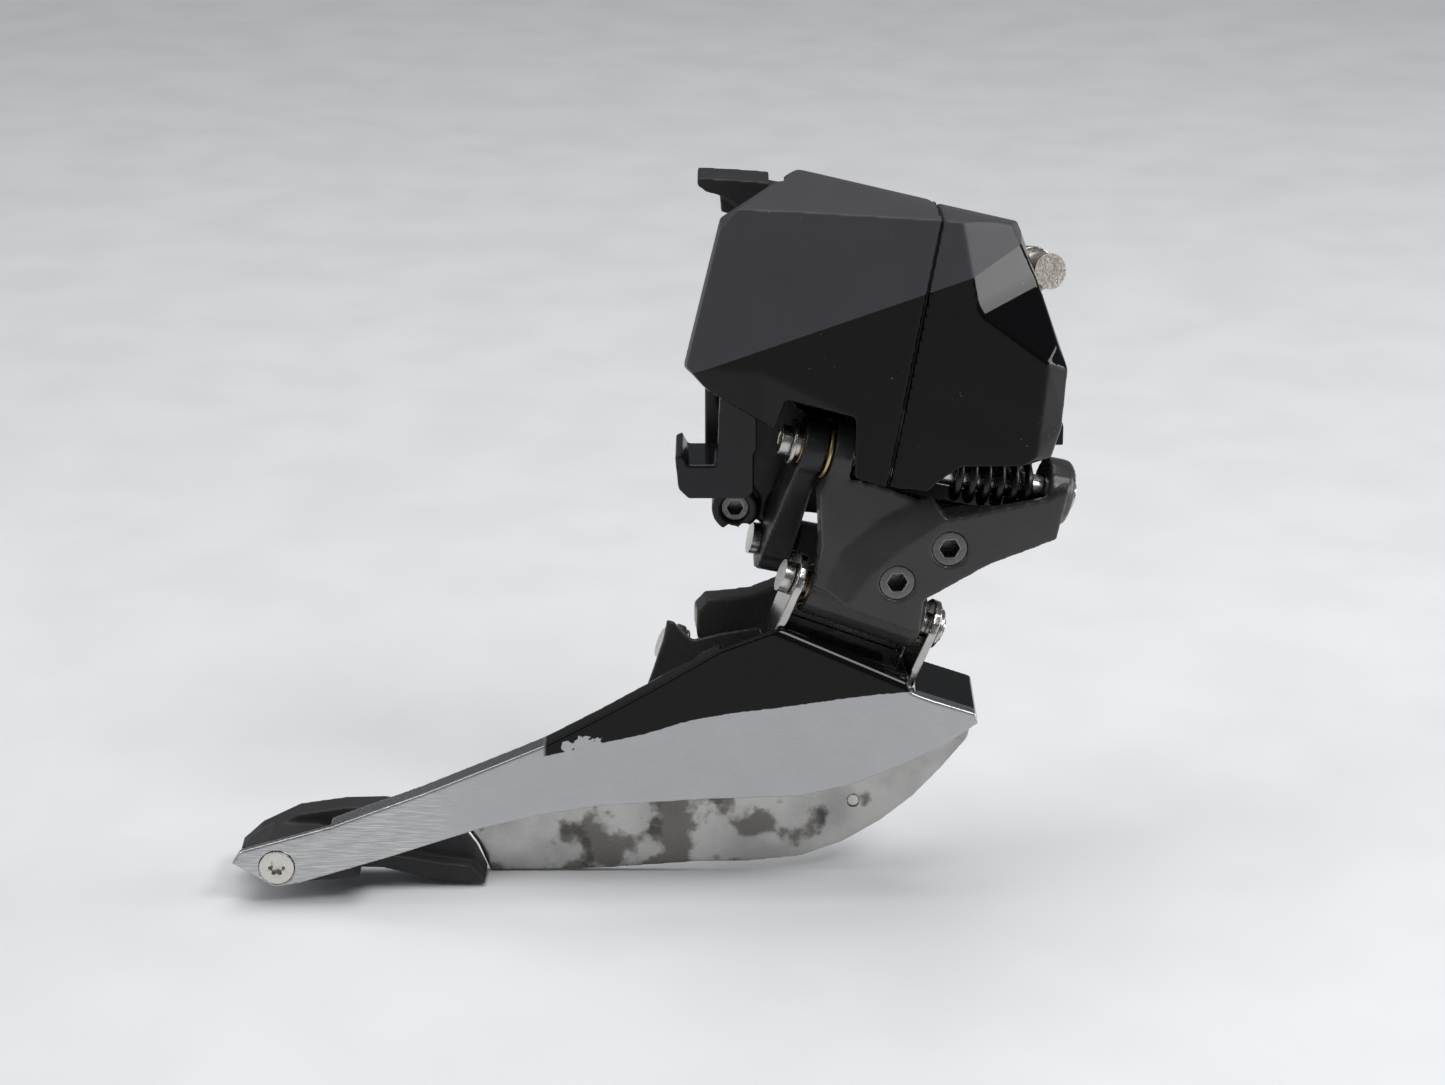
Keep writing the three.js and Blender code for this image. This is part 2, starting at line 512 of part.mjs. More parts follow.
function buildDrive() {
  const sectorUp = bearing([0, 0], WHEEL_TWO_AT);
  const sectorTeeth = gearOutline(SECTOR_TEETH, sectorUp + halfTooth(SECTOR_TEETH), -3, 11);
  const sectorHub = rod(3.6, 0.5, 3.7).add(profile([...sectorTeeth, [0, 0]], 0.5, 3.7));
  put(onUpperOuter, 'sector_gear', sectorHub.subtract(rod(SHAFT_RADIUS + 0.02, 0, 6)), brass());

  const down = bearing(WHEEL_TWO_AT, [0, 0]);
  const up = bearing(WHEEL_TWO_AT, WHEEL_ONE_AT);
  const pinionTwo = profile(atCentre(gearOutline(PINION_TEETH, down), WHEEL_TWO_AT), 0.2, 3.9);
  const wheelTwo = profile(atCentre(gearOutline(WHEEL_TWO_TEETH, up + halfTooth(WHEEL_TWO_TEETH)),
    WHEEL_TWO_AT), -1.5, 0.2);
  const hubTwo = rod(1, -2.1, 4.6, WHEEL_TWO_AT, 10);
  put(onUpperOuter, 'compound_gear_2', union(pinionTwo, wheelTwo, hubTwo), brass());

  const downOne = bearing(WHEEL_ONE_AT, WHEEL_TWO_AT);
  const toMotor = bearing(WHEEL_ONE_AT, MOTOR_AT);
  const pinionOne = profile(atCentre(gearOutline(PINION_TEETH, downOne), WHEEL_ONE_AT), -2.2, 0.3);
  const wheelOne = profile(atCentre(gearOutline(WHEEL_ONE_TEETH, toMotor + halfTooth(WHEEL_ONE_TEETH)),
    WHEEL_ONE_AT), -3.9, -2.2);
  const hubOne = rod(1, -4.6, 1, WHEEL_ONE_AT, 10);
  put(onUpperOuter, 'compound_gear_1', union(pinionOne, wheelOne, hubOne), brass());

  const back = bearing(MOTOR_AT, WHEEL_ONE_AT);
  const pinion = profile(atCentre(gearOutline(MOTOR_PINION_TEETH, back), MOTOR_AT), -4, -2.2);
  put(onUpperOuter, 'motor_pinion', pinion.add(rod(0.75, -4.3, -3.6, MOTOR_AT, 10)), brass());
  const can = rod(4, -15.5, -4.9, MOTOR_AT, 20).add(rod(1.6, -16.3, -15, MOTOR_AT, 12));
  put(onUpperOuter, 'motor', can, pinSteel());
}

// ---------- output shaft and outer link ----------
function buildShaft() {
  const s = upperStation;
  const shaft = turned([[s(9.9), 1.7], [s(10), SHAFT_RADIUS], [s(48.9), SHAFT_RADIUS], [s(49.3), 1.6]]);
  const screwBore = rod(1.02, s(9), s(14), [0, 0], 14);
  put(onUpperOuter, 'output_shaft', shaft.subtract(screwBore), pinSteel());
  const screw = rod(1, s(9), s(13), [0, 0], 14).add(
    turned([[s(7.9), 1.9], [s(8.1), 2.1], [s(9.3), 2.1]], 20));
  const recess = rod(1, s(7), s(8.7), [0, 0], 6);
  put(onUpperOuter, 'shaft_end_screw', screw.subtract(recess), pinSteel());
  put(onUpperOuter, 'shaft_end_washer', sleeve(3.2, 1.1, s(9.35), s(9.85), 16), pinSteel());
  put(onUpperOuter, 'thrust_washer', sleeve(4.3, SHAFT_RADIUS + 0.15, s(14.1), s(14.5), 20), brass());
  const bushing = (name, from, to) =>
    put(onUpperOuter, name, sleeve(2.88, SHAFT_RADIUS + RUNNING_GAP, s(from), s(to)), bronze());
  bushing('rear_bushing', 10.6, 13.95);
  bushing('gear_bushing_rear', 18.05, 19.95);
  bushing('gear_bushing_front', 24.35, 26.25);
}

function buildSpring() {
  const coils = 6;
  const wire = 0.6;
  const coilRadius = 3.3;
  const from = upperStation(31.6);
  const to = upperStation(43.2);
  const points = [];
  const steps = coils * 10;
  for (let i = 0; i <= steps; i += 1) {
    const angle = (2 * Math.PI * i) / 10;
    const along = from + ((to - from) * i) / steps;
    points.push(new THREE.Vector3(along, coilRadius * Math.cos(angle), coilRadius * Math.sin(angle)));
  }
  const path = new THREE.CatmullRomCurve3(points);
  const section = shapeOf(circle(wire, 0, 0, 5));
  const geometry = new THREE.ExtrudeGeometry(section, { steps, extrudePath: path, bevelEnabled: false });
  put(onUpperOuter, 'torsion_spring', solidOf(geometry), screwBlack());
}

function buildOuterLink() {
  const s = upperStation;
  const l = lowerStation;
  const web = slab([[14.9, 12.4], [17.6, 12.4], [18.2, 10.4], [23.3, 8.4], [29.6, 5.2], [44.6, 7.2],
    [47.4, 7.4], [46, 0.9], [42.8, -0.3], [36.5, -2.5], [27.5, -7.4], [26.6, -11.6], [12.4, -5.6],
    [13.5, 0], [13.1, 8]].map(yawedX), -3.8, 1.2);
  const bar = slab([[47.6, 8.4], [46, 0.9], [42.8, -0.3], [36.5, -2.5], [27.5, -7.4], [26.9, -12.4],
    [16.5, -8], [19.6, -3.4], [24.8, 1], [30.5, 4.6], [44.6, 7]].map(yawedX), BAR_FACE, -3);
  // the slope that the bar rises on: from each point of its upper edge down to the web's face
  const crest = [[16.5, -8], [19.6, -3.4], [24.8, 1], [30.5, 4.6]].map(yawedX);
  const foot = [[13.8, -6.2], [16.2, -0.6], [21.6, 4], [28.6, 7.4]].map(yawedX);
  const slopes = crest.slice(1).map((top, i) => hull([[crest[i], BAR_FACE], [top, BAR_FACE], [crest[i], -3],
    [top, -3], [foot[i], -3.9], [foot[i + 1], -3.9], [foot[i], -3], [foot[i + 1], -3]]
    .map(([[x, z], y]) => [x, y, z])));
  const leftLug = moved(rod(4.3, s(14.8), s(17.6)), upperOuter);
  const cap = moved(turned([[s(44.6), 4.9], [s(47.6), 4.9], [s(48.4), 4.2]]), upperOuter);
  const barrel = moved(rod(4, l(11.8), l(27.6)), lowerOuter);
  const placedWeb = moved(union(web, bar, ...slopes), outerYawed);
  const springSpace = moved(rod(4.6, s(17.8), s(44.5)), upperOuter);
  const shaftBore = moved(rod(SHAFT_RADIUS + 0.02, s(8), s(55)), upperOuter);
  const bushingBore = moved(rod(2.7, l(5), l(35)), lowerOuter);
  const earSpace = moved(rod(5.2, l(5), l(11.6)).add(rod(5.2, l(27.8), l(34))), lowerOuter);
  const screws = union(...Object.values(LIMIT_SCREWS).map(([x, z]) => {
    const [cx, cz] = yawedX([x, z]);
    return moved(slab(circle(2.52, cx, cz, 18), -20, 20), outerYawed);
  }));
  const link = union(placedWeb, leftLug, cap, barrel).subtract(springSpace).add(leftLug)
    .subtract(shaftBore).subtract(bushingBore).subtract(earSpace).subtract(screws);
  put(stance, 'outer_link', largestPiece(link), linkBlack());
  for (const [name, [x, z]] of Object.entries(LIMIT_SCREWS)) {
    const [cx, cz] = yawedX([x, z]);
    const screw = slab(circle(2.48, cx, cz, 18), BAR_FACE + 0.3, 1).subtract(
      slab(circle(1.44, cx, cz, 6), BAR_FACE - 1, BAR_FACE + 3),
    );
    put(onOuterLink, name, screw, screwBlack());
  }
  const bushing = (name, from, to) =>
    put(onLowerOuter, name, sleeve(2.68, PIN_RADIUS + RUNNING_GAP, l(from), l(to)), bronze());
  bushing('link_bushing_rear', 11.6, 16);
  bushing('link_bushing_front', 23.4, 27.8);
}

// ---------- inner link ----------
function buildInnerLink() {
  const web = slab([[10, -6], [23.9, -9.4], [22.9, -33.4], [-3.9, -22.4], [-3.9, -14.6], [-2.4, -13],
    [4, -12.6], [10, -10.4]].map(yawedX), -1.8, 2.2);
  const topBarrel = moved(rod(3.9, upperStation(9.9), upperStation(24)), upperInner);
  const lowBarrel = moved(rod(3.2, lowerStation(-4), lowerStation(23)), lowerInner);
  const topBore = moved(rod(PIN_RADIUS + RUNNING_GAP, upperStation(0), upperStation(40)), upperInner);
  const lowBore = moved(rod(PIN_RADIUS + OPEN_PIVOT_GAP, lowerStation(-20), lowerStation(40)), lowerInner);
  const lugSpace = moved(
    rod(4.5, upperStation(0), upperStation(9.7)).add(rod(4.4, upperStation(24.2), upperStation(32))), upperInner);
  const earSpace = moved(rod(4.4, lowerStation(-14), lowerStation(-4)), lowerInner);
  const link = union(moved(web, innerYawed), topBarrel, lowBarrel).subtract(topBore).subtract(lowBore)
    .subtract(lugSpace).subtract(earSpace);
  put(stance, 'inner_link', link, linkBlack());
  const s = upperStation;
  const pin = turned([[s(3.9), 1.6], [s(4.1), 2.3], [s(5.2), 2.3], [s(5.2), PIN_RADIUS],
    [s(28.8), PIN_RADIUS], [s(29), 1.6]]);
  put(onUpperInner, 'upper_inner_pin', pin, pinSteel());
}

// ---------- cage ----------
function buildOuterPlate() {
  const topEdge = [[-69.1, -45.8], [-56.1, -42], [-43.1, -37], [-33, -32.7], [-25.2, -29.3],
    [-17.3, -25], [-10.2, -20.9], [-0.4, -15], [8.4, -11.6]];
  const lowEdge = [[25.5, -19.3], [26.6, -21.2], [29.3, -22.4], [35.7, -24.4], [36.2, -25.9],
    [31.5, -29.3], [25.2, -32.5], [18.5, -35.4], [11, -37.2], [-3.2, -37.7], [-17.5, -38.7], [-26, -40.1],
    [-34.7, -42.3], [-48, -46.8], [-60.7, -50.8], [-64.3, -51.4], [-70.3, -47.7]];
  const plate = slab([...topEdge, ...lowEdge], OUTER_PLATE_FACE, OUTER_PLATE_FACE + PLATE_THICKNESS);
  const flangeLine = topEdge.slice(1, -1);
  const flange = slab(
    [...flangeLine, ...flangeLine.map(([x, z]) => [x + 0.5, z - 1.1]).reverse()],
    OUTER_PLATE_FACE + 0.5, OUTER_PLATE_FACE + 3.6,
  );
  const l = lowerStation;
  const shelf = moved(box([l(11.2), -8, -7.4], [l(28.2), 4.2, -6.3]), lowerOuter).intersect(
    box([0, OUTER_PLATE_FACE + 0.4, -40], [40, 30, 0]),
  );
  // the plate rolls over into the shelf along the shoulder's sloping top
  const rollFrame = new THREE.Matrix4().makeRotationY(SHOULDER_SLOPE).setPosition(...SHOULDER_TOP);
  const rolled = moved(
    box([-1, -1, -SHOULDER_ROLL], [21, SHOULDER_ROLL, 1]).subtract(
      rod(SHOULDER_ROLL, -2, 22, [SHOULDER_ROLL, -SHOULDER_ROLL], 32)),
    rollFrame,
  );
  const bridge = slab([[27.4, -21.6], [35.7, -24.4], [36.2, -25.9], [35.2, -25.6], [27.2, -22.9]],
    OUTER_PLATE_FACE + 0.4, 19.2);
  const bridgeTab = slab([[27.2, -21.8], [35.9, -24.6], [35.6, -29.4], [28, -28.4]], 17.9, 19.2);
  const rivetBores = moved(union(...EAR_RIVETS.map(([x, y]) => rivetBore(x, y))), lowerOuter);
  const screwBore = slab(circle(2.55, ...TAIL_SCREW), 0, 10);
  const bridgeBores = union(...BRIDGE_RIVETS.map(([x, z]) => slab(circle(0.82, x, z, 12), 12, 30)));
  put(stance, 'outer_plate', union(plate, flange, shelf).subtract(rolled).add(bridge).add(bridgeTab)
    .subtract(rivetBores)
    .subtract(screwBore).subtract(bridgeBores), satinAluminium());
}

const rivetBore = (x, y) => {
  const bore = new THREE.CylinderGeometry(1.02, 1.02, 3.2, 12);
  bore.rotateX(Math.PI / 2);
  bore.translate(x, y, -8.4);
  return solidOf(bore);
};

function buildInnerPlate() {
  const outline = [[-38.4, -45.9], [-37.6, -41.4], [-30, -37.6], [-20, -33.4], [-8, -29], [4, -27.4],
    [18, -26.6], [28, -25.6], [35.6, -26.4], [36.4, -29], [35.4, -33.2], [31.6, -38], [27.6, -42.4], [23, -46.2],
    [17.5, -49.6], [11.4, -51.9], [4, -52.7], [-3.3, -52.8], [-18, -53.9], [-34, -54.2], [-35.6, -50]];
  const plate = slab(outline, INNER_PLATE_FACE, INNER_PLATE_FACE + PLATE_THICKNESS);
  const bores = union(...BRACKET_RIVETS.concat(BRIDGE_RIVETS).map(([x, z]) =>
    slab(circle(0.82, x, z, 12), 12, 30)));
  put(stance, 'inner_plate', plate.subtract(bores), polishedSteel());
}

function buildEarBracket() {
  const l = lowerStation;
  const base = box([l(9.6), -3.2, -8.6], [l(29.8), 3.6, -7.5]);
  const backWall = box([l(10.2), 4.4, -8.6], [l(29.4), 5.4, -3.4]);
  const backFoot = box([l(10.2), 3.4, -8.6], [l(29.4), 5, -7.5]);
  const ear = (x) => hull([...ring(3.9, 16, l(x)), ...ring(3.9, 16, l(x) + 1.2),
    [l(x), -3.2, -8.6], [l(x), 3.6, -8.6], [l(x) + 1.2, -3.2, -8.6], [l(x) + 1.2, 3.6, -8.6]]);
  const bore = rod(PIN_RADIUS + 0.02, l(5), l(35));
  const rivets = union(...EAR_RIVETS.map(([x, y]) => rivetBore(x, y)));
  const bracket = union(base, backWall, backFoot, ear(9.6), ear(28.6)).subtract(bore).subtract(rivets);
  put(onLowerOuter, 'ear_bracket', bracket, polishedSteel());
  EAR_RIVETS.forEach(([x, y], i) => {
    const shank = new THREE.CylinderGeometry(1, 1, 2.1, 12);
    shank.rotateX(Math.PI / 2);
    shank.translate(x, y, -7.95);
    const head = new THREE.CylinderGeometry(1.7, 1.7, 0.5, 12);
    head.rotateX(Math.PI / 2);
    head.translate(x, y, -8.9);
    put(onLowerOuter, `ear_rivet_${i + 1}`, solidOf(shank).add(solidOf(head)), pinSteel());
  });
  const pin = turned([[l(8.2), 1.6], [l(8.4), 2.3], [l(9.5), 2.3], [l(9.5), PIN_RADIUS],
    [l(30.6), PIN_RADIUS], [l(31), 1.5]]);
  put(onLowerOuter, 'lower_outer_pin', pin, pinSteel());
  put(onLowerOuter, 'lower_outer_clip', sleeve(2.9, PIN_RADIUS + 0.02, l(30), l(30.5), 20), pinSteel());
}

function buildInnerBracket() {
  const l = lowerStation;
  const face = INNER_PLATE_FACE + PLATE_THICKNESS + 0.1;
  const base = slab([[-10.4, -27.6], [-7.6, -25.4], [24.6, -39.2], [26.4, -41], [22, -45.4], [4, -42],
    [-9.6, -34]], face, face + 1.3);
  const wall = slab([[-12.1, -29], [-10.2, -23.6], [-8.6, -18.6], [-8, -15.6], [-7, -15.8], [-5.4, -17.8],
    [-4.2, -18.6], [-0.4, -17.6], [5.4, -16.6], [6.3, -20.1], [6.3, -32], [-6, -30]], face, face + 1);
  const ear = (from, foot) => {
    const disc = ring(3.5, 12, l(from)).concat(ring(3.5, 12, l(from) + 1.2))
      .map((p) => new THREE.Vector3(...p).applyMatrix4(lowerInner).toArray());
    return hull([...disc, ...foot]);
  };
  const footOf = (x, top, low) => [[x, face, top], [x + 1.2, face, top], [x, face, low],
    [x + 1.2, face, low], [x, face + 4, low], [x + 1.2, face + 4, low]];
  const leftEar = ear(-7.5, footOf(-8.4, -24, -30.5));
  const rightEar = ear(23.6, footOf(23, -37, -42.5));
  const bore = moved(rod(PIN_RADIUS + 0.02, l(-20), l(40)), lowerInner);
  const linkSpace = moved(rod(3.8, l(-6.35), l(23.4)), lowerInner);
  const rivets = union(...BRACKET_RIVETS.map(([x, z]) => slab(circle(0.82, x, z, 12), 12, 30)));
  const bracket = union(base, wall, leftEar, rightEar).subtract(linkSpace).subtract(bore).subtract(rivets);
  put(stance, 'inner_bracket', largestPiece(bracket), linkBlack());
  BRACKET_RIVETS.forEach(([x, z], i) => {
    const shank = slab(circle(0.8, x, z, 12), INNER_PLATE_FACE + 0.1, face + 1.6);
    const head = slab(circle(1.7, x, z, 14), face + 1.35, face + 2);
    put(stance, `bracket_rivet_${i + 1}`, shank.add(head), pinSteel());
  });
  BRIDGE_RIVETS.forEach(([x, z], i) => {
    const shank = slab(circle(0.8, x, z, 12), INNER_PLATE_FACE + 0.1, 19.5);
    const head = slab(circle(1.5, x, z, 14), 19.25, 19.8);
    put(stance, `bridge_rivet_${i + 1}`, shank.add(head), pinSteel());
  });
  const pin = turned([[l(-9), 1.6], [l(-8.8), 2.2], [l(-7.6), 2.2], [l(-7.6), PIN_RADIUS],
    [l(25.4), PIN_RADIUS], [l(25.6), 1.6]]);
  put(onLowerInner, 'lower_inner_pin', pin, pinSteel());
  put(onLowerInner, 'lower_inner_washer', sleeve(3, PIN_RADIUS + 0.02, l(-6.2), l(-5.8), 20), pinSteel());
}

function buildTail() {
  const wall = slab([[-70.2, -49.6], [-67.1, -46.7], [-61.5, -43.9], [-54.9, -42.9], [-49.1, -42.7],
    [-41, -44.2], [-38.8, -46.2], [-36, -50.2], [-34.3, -53.9], [-41.1, -53.4], [-49, -51.4], [-58, -51]], 13.4, 17.6);
  const foot = slab([[-69.2, -48], [-65, -45.2], [-58.6, -45.6], [-54, -47.2], [-52, -50.6], [-63.8, -51.2]],
    OUTER_PLATE_FACE + PLATE_THICKNESS + 0.05, 14);
  const lip = slab([[-58, -49.4], [-49, -49.2], [-41, -50.6], [-36.4, -51.2], [-34.3, -53.9],
    [-41.1, -53.4], [-49, -51.4], [-58, -51]], 11, 14);
  const bore = slab(circle(1.52, ...TAIL_SCREW, 16), 0, 16);
  put(stance, 'tail_block', union(wall, foot, lip).subtract(bore), blackPlastic());
  const stud = slab(circle(1.5, ...TAIL_SCREW, 16), 5.5, 15);
  const head = slab(circle(2.5, ...TAIL_SCREW), OUTER_PLATE_FACE - 0.1, OUTER_PLATE_FACE + 1.15);
  const star = slab(starPoints(1.35, 0.85, ...TAIL_SCREW), 0, OUTER_PLATE_FACE + 0.9);
  put(stance, 'tail_screw', head.add(stud).subtract(star), pinSteel());
}

function starPoints(outer, inner, x, z) {
  const points = [];
  for (let i = 0; i < 12; i += 1) {
    const radius = i % 2 ? inner : outer;
    const angle = (Math.PI * i) / 6;
    points.push([x + radius * Math.cos(angle), z + radius * Math.sin(angle)]);
  }
  return points;
}

buildBaseFrame();
buildHousing();
buildRearScrews();
buildBatteryTray();
buildContacts();
buildSeat();
buildSupportScrew();
buildLatch();
buildButton();
buildDrive();
buildShaft();
buildSpring();
buildOuterLink();
buildInnerLink();
buildOuterPlate();
buildInnerPlate();
buildEarBracket();
buildInnerBracket();
buildTail();

export default derailleur;
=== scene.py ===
"""The looks of a wireless front derailleur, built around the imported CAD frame.

The part's frame is in metres, +X forward along the bicycle, +Y inboard, +Z up, with its origin at
the hanger seat. Sizes here are millimetres. Places are millimetres from one working point on the
plane of the housing's outer face, which SEAT ties to the part's frame.
"""

import json
import math

import bpy
from mathutils import Matrix, Vector

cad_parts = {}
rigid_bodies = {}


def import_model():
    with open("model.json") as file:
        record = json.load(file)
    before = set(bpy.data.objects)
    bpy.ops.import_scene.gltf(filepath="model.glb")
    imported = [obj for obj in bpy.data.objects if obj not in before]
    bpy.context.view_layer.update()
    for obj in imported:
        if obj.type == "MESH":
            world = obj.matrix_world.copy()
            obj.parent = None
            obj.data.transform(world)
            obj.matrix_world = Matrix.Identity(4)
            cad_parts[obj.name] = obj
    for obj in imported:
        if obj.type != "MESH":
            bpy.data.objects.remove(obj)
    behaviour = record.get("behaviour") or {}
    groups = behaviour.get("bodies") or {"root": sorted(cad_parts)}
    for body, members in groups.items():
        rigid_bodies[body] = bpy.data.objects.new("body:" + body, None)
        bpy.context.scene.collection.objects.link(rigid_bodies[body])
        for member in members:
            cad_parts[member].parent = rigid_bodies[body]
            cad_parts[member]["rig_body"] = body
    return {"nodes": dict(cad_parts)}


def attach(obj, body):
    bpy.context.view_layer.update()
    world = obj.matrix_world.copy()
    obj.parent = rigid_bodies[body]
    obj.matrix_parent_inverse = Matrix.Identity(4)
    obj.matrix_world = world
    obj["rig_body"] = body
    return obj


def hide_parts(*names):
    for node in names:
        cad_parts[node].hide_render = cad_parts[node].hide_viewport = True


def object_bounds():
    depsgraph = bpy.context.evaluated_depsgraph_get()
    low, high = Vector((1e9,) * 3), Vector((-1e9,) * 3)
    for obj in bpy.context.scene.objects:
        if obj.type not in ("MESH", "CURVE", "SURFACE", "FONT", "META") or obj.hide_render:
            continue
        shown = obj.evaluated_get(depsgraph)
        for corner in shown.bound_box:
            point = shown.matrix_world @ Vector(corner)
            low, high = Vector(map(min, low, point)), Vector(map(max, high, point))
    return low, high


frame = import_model()
cad_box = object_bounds()
nodes = frame["nodes"]

MM = 0.001
SEAT = Vector((40.5, 24, 35.3))  # hanger seat centre
SEAT_YAW = math.radians(27)
SEAT_PITCH = math.radians(12)
PIVOT_YAW = math.radians(7)
UPPER_TILT = math.radians(13.8)
LOWER_TILT = math.radians(22.3)
PIVOT_X = 20  # where the pivots' centres are given
UPPER_OUTER_PIVOT = (PIVOT_X, 9.4, 12.4)
LOWER_OUTER_PIVOT = (PIVOT_X, 10.6, -10.1)
UPPER_INNER_PIVOT = (PIVOT_X, 24, -8.3)
LOWER_INNER_PIVOT = (PIVOT_X, 25.2, -32.3)

SHAFT_RADIUS = 2
PIN_RADIUS = 1.8
PIN_HEAD_RADIUS = 2.3
BUSHING_GAP = 0.12

# x and z of screws, pins and rivets
LIMIT_SCREWS = {"limit_screw_high": (31, 0.1), "limit_screw_low": (23.7, -4.6)}
TAIL_SCREW = (-63.9, -48.3)
LATCH_PIVOT = (6.2, 45.2)
SUPPORT_SCREW = (1.8, 0.4)
HOUSING_SCREWS = {"housing_screw_1": (14.5, 44), "housing_screw_2": (10, 29), "housing_screw_3": (41, 22)}
TRAY_SCREWS = {"tray_screw_lower": (0.6, 9.2), "tray_screw_upper": (0.6, 16.2)}
BRACKET_RIVETS = [(-6.5, -32), (6, -39.5), (19, -43)]
BRIDGE_RIVETS = [(30.2, -26.4), (33.9, -27.2)]
EAR_RIVETS = [-6.5, 2]  # along the lower outer pivot

# the shell is satin above a line through this place, with this slope
FINISH_LINE = (-3.5, 27.4)
FINISH_SLOPE = 0.359
# x and z along the lower edge of the paint on the outer plate
SHOULDER_EDGE = [(-26, -31.2), (-17, -28.9), (-11.7, -27.7), (-3.2, -25.2), (9.5, -23.3),
                 (25.7, -21.2), (38, -21)]
# x, z and radius of the spots where that paint has chipped off, and the plate's outer face
CHIPS = [(-21.8, -29.5, 0.8), (-20.4, -29.2, 1.0), (-19.0, -29.0, 0.9), (-17.6, -28.8, 0.6)]
PLATE_FACE = 4.4
STAIN_CENTRE = (-6, 16.4, -46.5)  # on the inner plate


def at(x, y, z):
    """A place given in millimetres from the working point, as metres in the part's frame."""
    return (Vector((x, y, z)) - SEAT) * MM


# ---------- camera, floor and light ----------
def add_camera():
    """A long lens that looks inboard and 20 degrees down."""
    data = bpy.data.cameras.new("camera")
    data.sensor_width = 36
    data.lens = 99.65
    camera = bpy.data.objects.new("camera", data)
    bpy.context.scene.collection.objects.link(camera)
    place = at(0, -518.2, 191.5)
    target = at(0, 8, 0)
    camera.location = place
    camera.rotation_euler = (target - place).to_track_quat("-Z", "Y").to_euler()
    bpy.context.scene.camera = camera


def add_area_light(name, place, target, size, power, colour=(1, 1, 1)):
    data = bpy.data.lights.new(name, "AREA")
    data.shape = "RECTANGLE"
    data.size, data.size_y = size
    data.energy = power
    data.color = colour
    light = bpy.data.objects.new(name, data)
    bpy.context.scene.collection.objects.link(light)
    light.location = place
    light.rotation_euler = (Vector(target) - Vector(place)).to_track_quat("-Z", "Y").to_euler()


def add_studio():
    """A pale floor just under the part, a dim sky and four soft lights."""
    low, _ = cad_box
    mesh = bpy.data.meshes.new("floor")
    half, gap = 3.0, 0.0001
    corners = [(-half, -half, 0), (half, -half, 0), (half, half, 0), (-half, half, 0)]
    mesh.from_pydata(corners, [], [(0, 1, 2, 3)])
    floor = bpy.data.objects.new("floor", mesh)
    floor.location.z = low.z - gap
    bpy.context.scene.collection.objects.link(floor)
    floor.data.materials.append(floor_paint())

    world = bpy.data.worlds.new("studio")
    world.use_nodes = True
    sky = world.node_tree.nodes["Background"]
    sky.inputs["Color"].default_value = (0.60, 0.62, 0.65, 1)
    sky.inputs["Strength"].default_value = 0.22
    bpy.context.scene.world = world
    centre = at(10, 10, 10)
    add_area_light("overhead", (-0.10, 0.10, 0.75), centre, (0.9, 0.6), 4.6)
    add_area_light("left_window", (-0.8, -0.30, 0.45), centre, (0.5, 0.6), 2.6)
    add_area_light("soft_box", (0.36, -0.33, 0.50), centre, (0.30, 0.16), 2.0)
    add_area_light("right_window", (0.60, 0.04, 0.11), centre, (0.22, 0.40), 2.0)
    bpy.context.scene.view_settings.view_transform = "Standard"


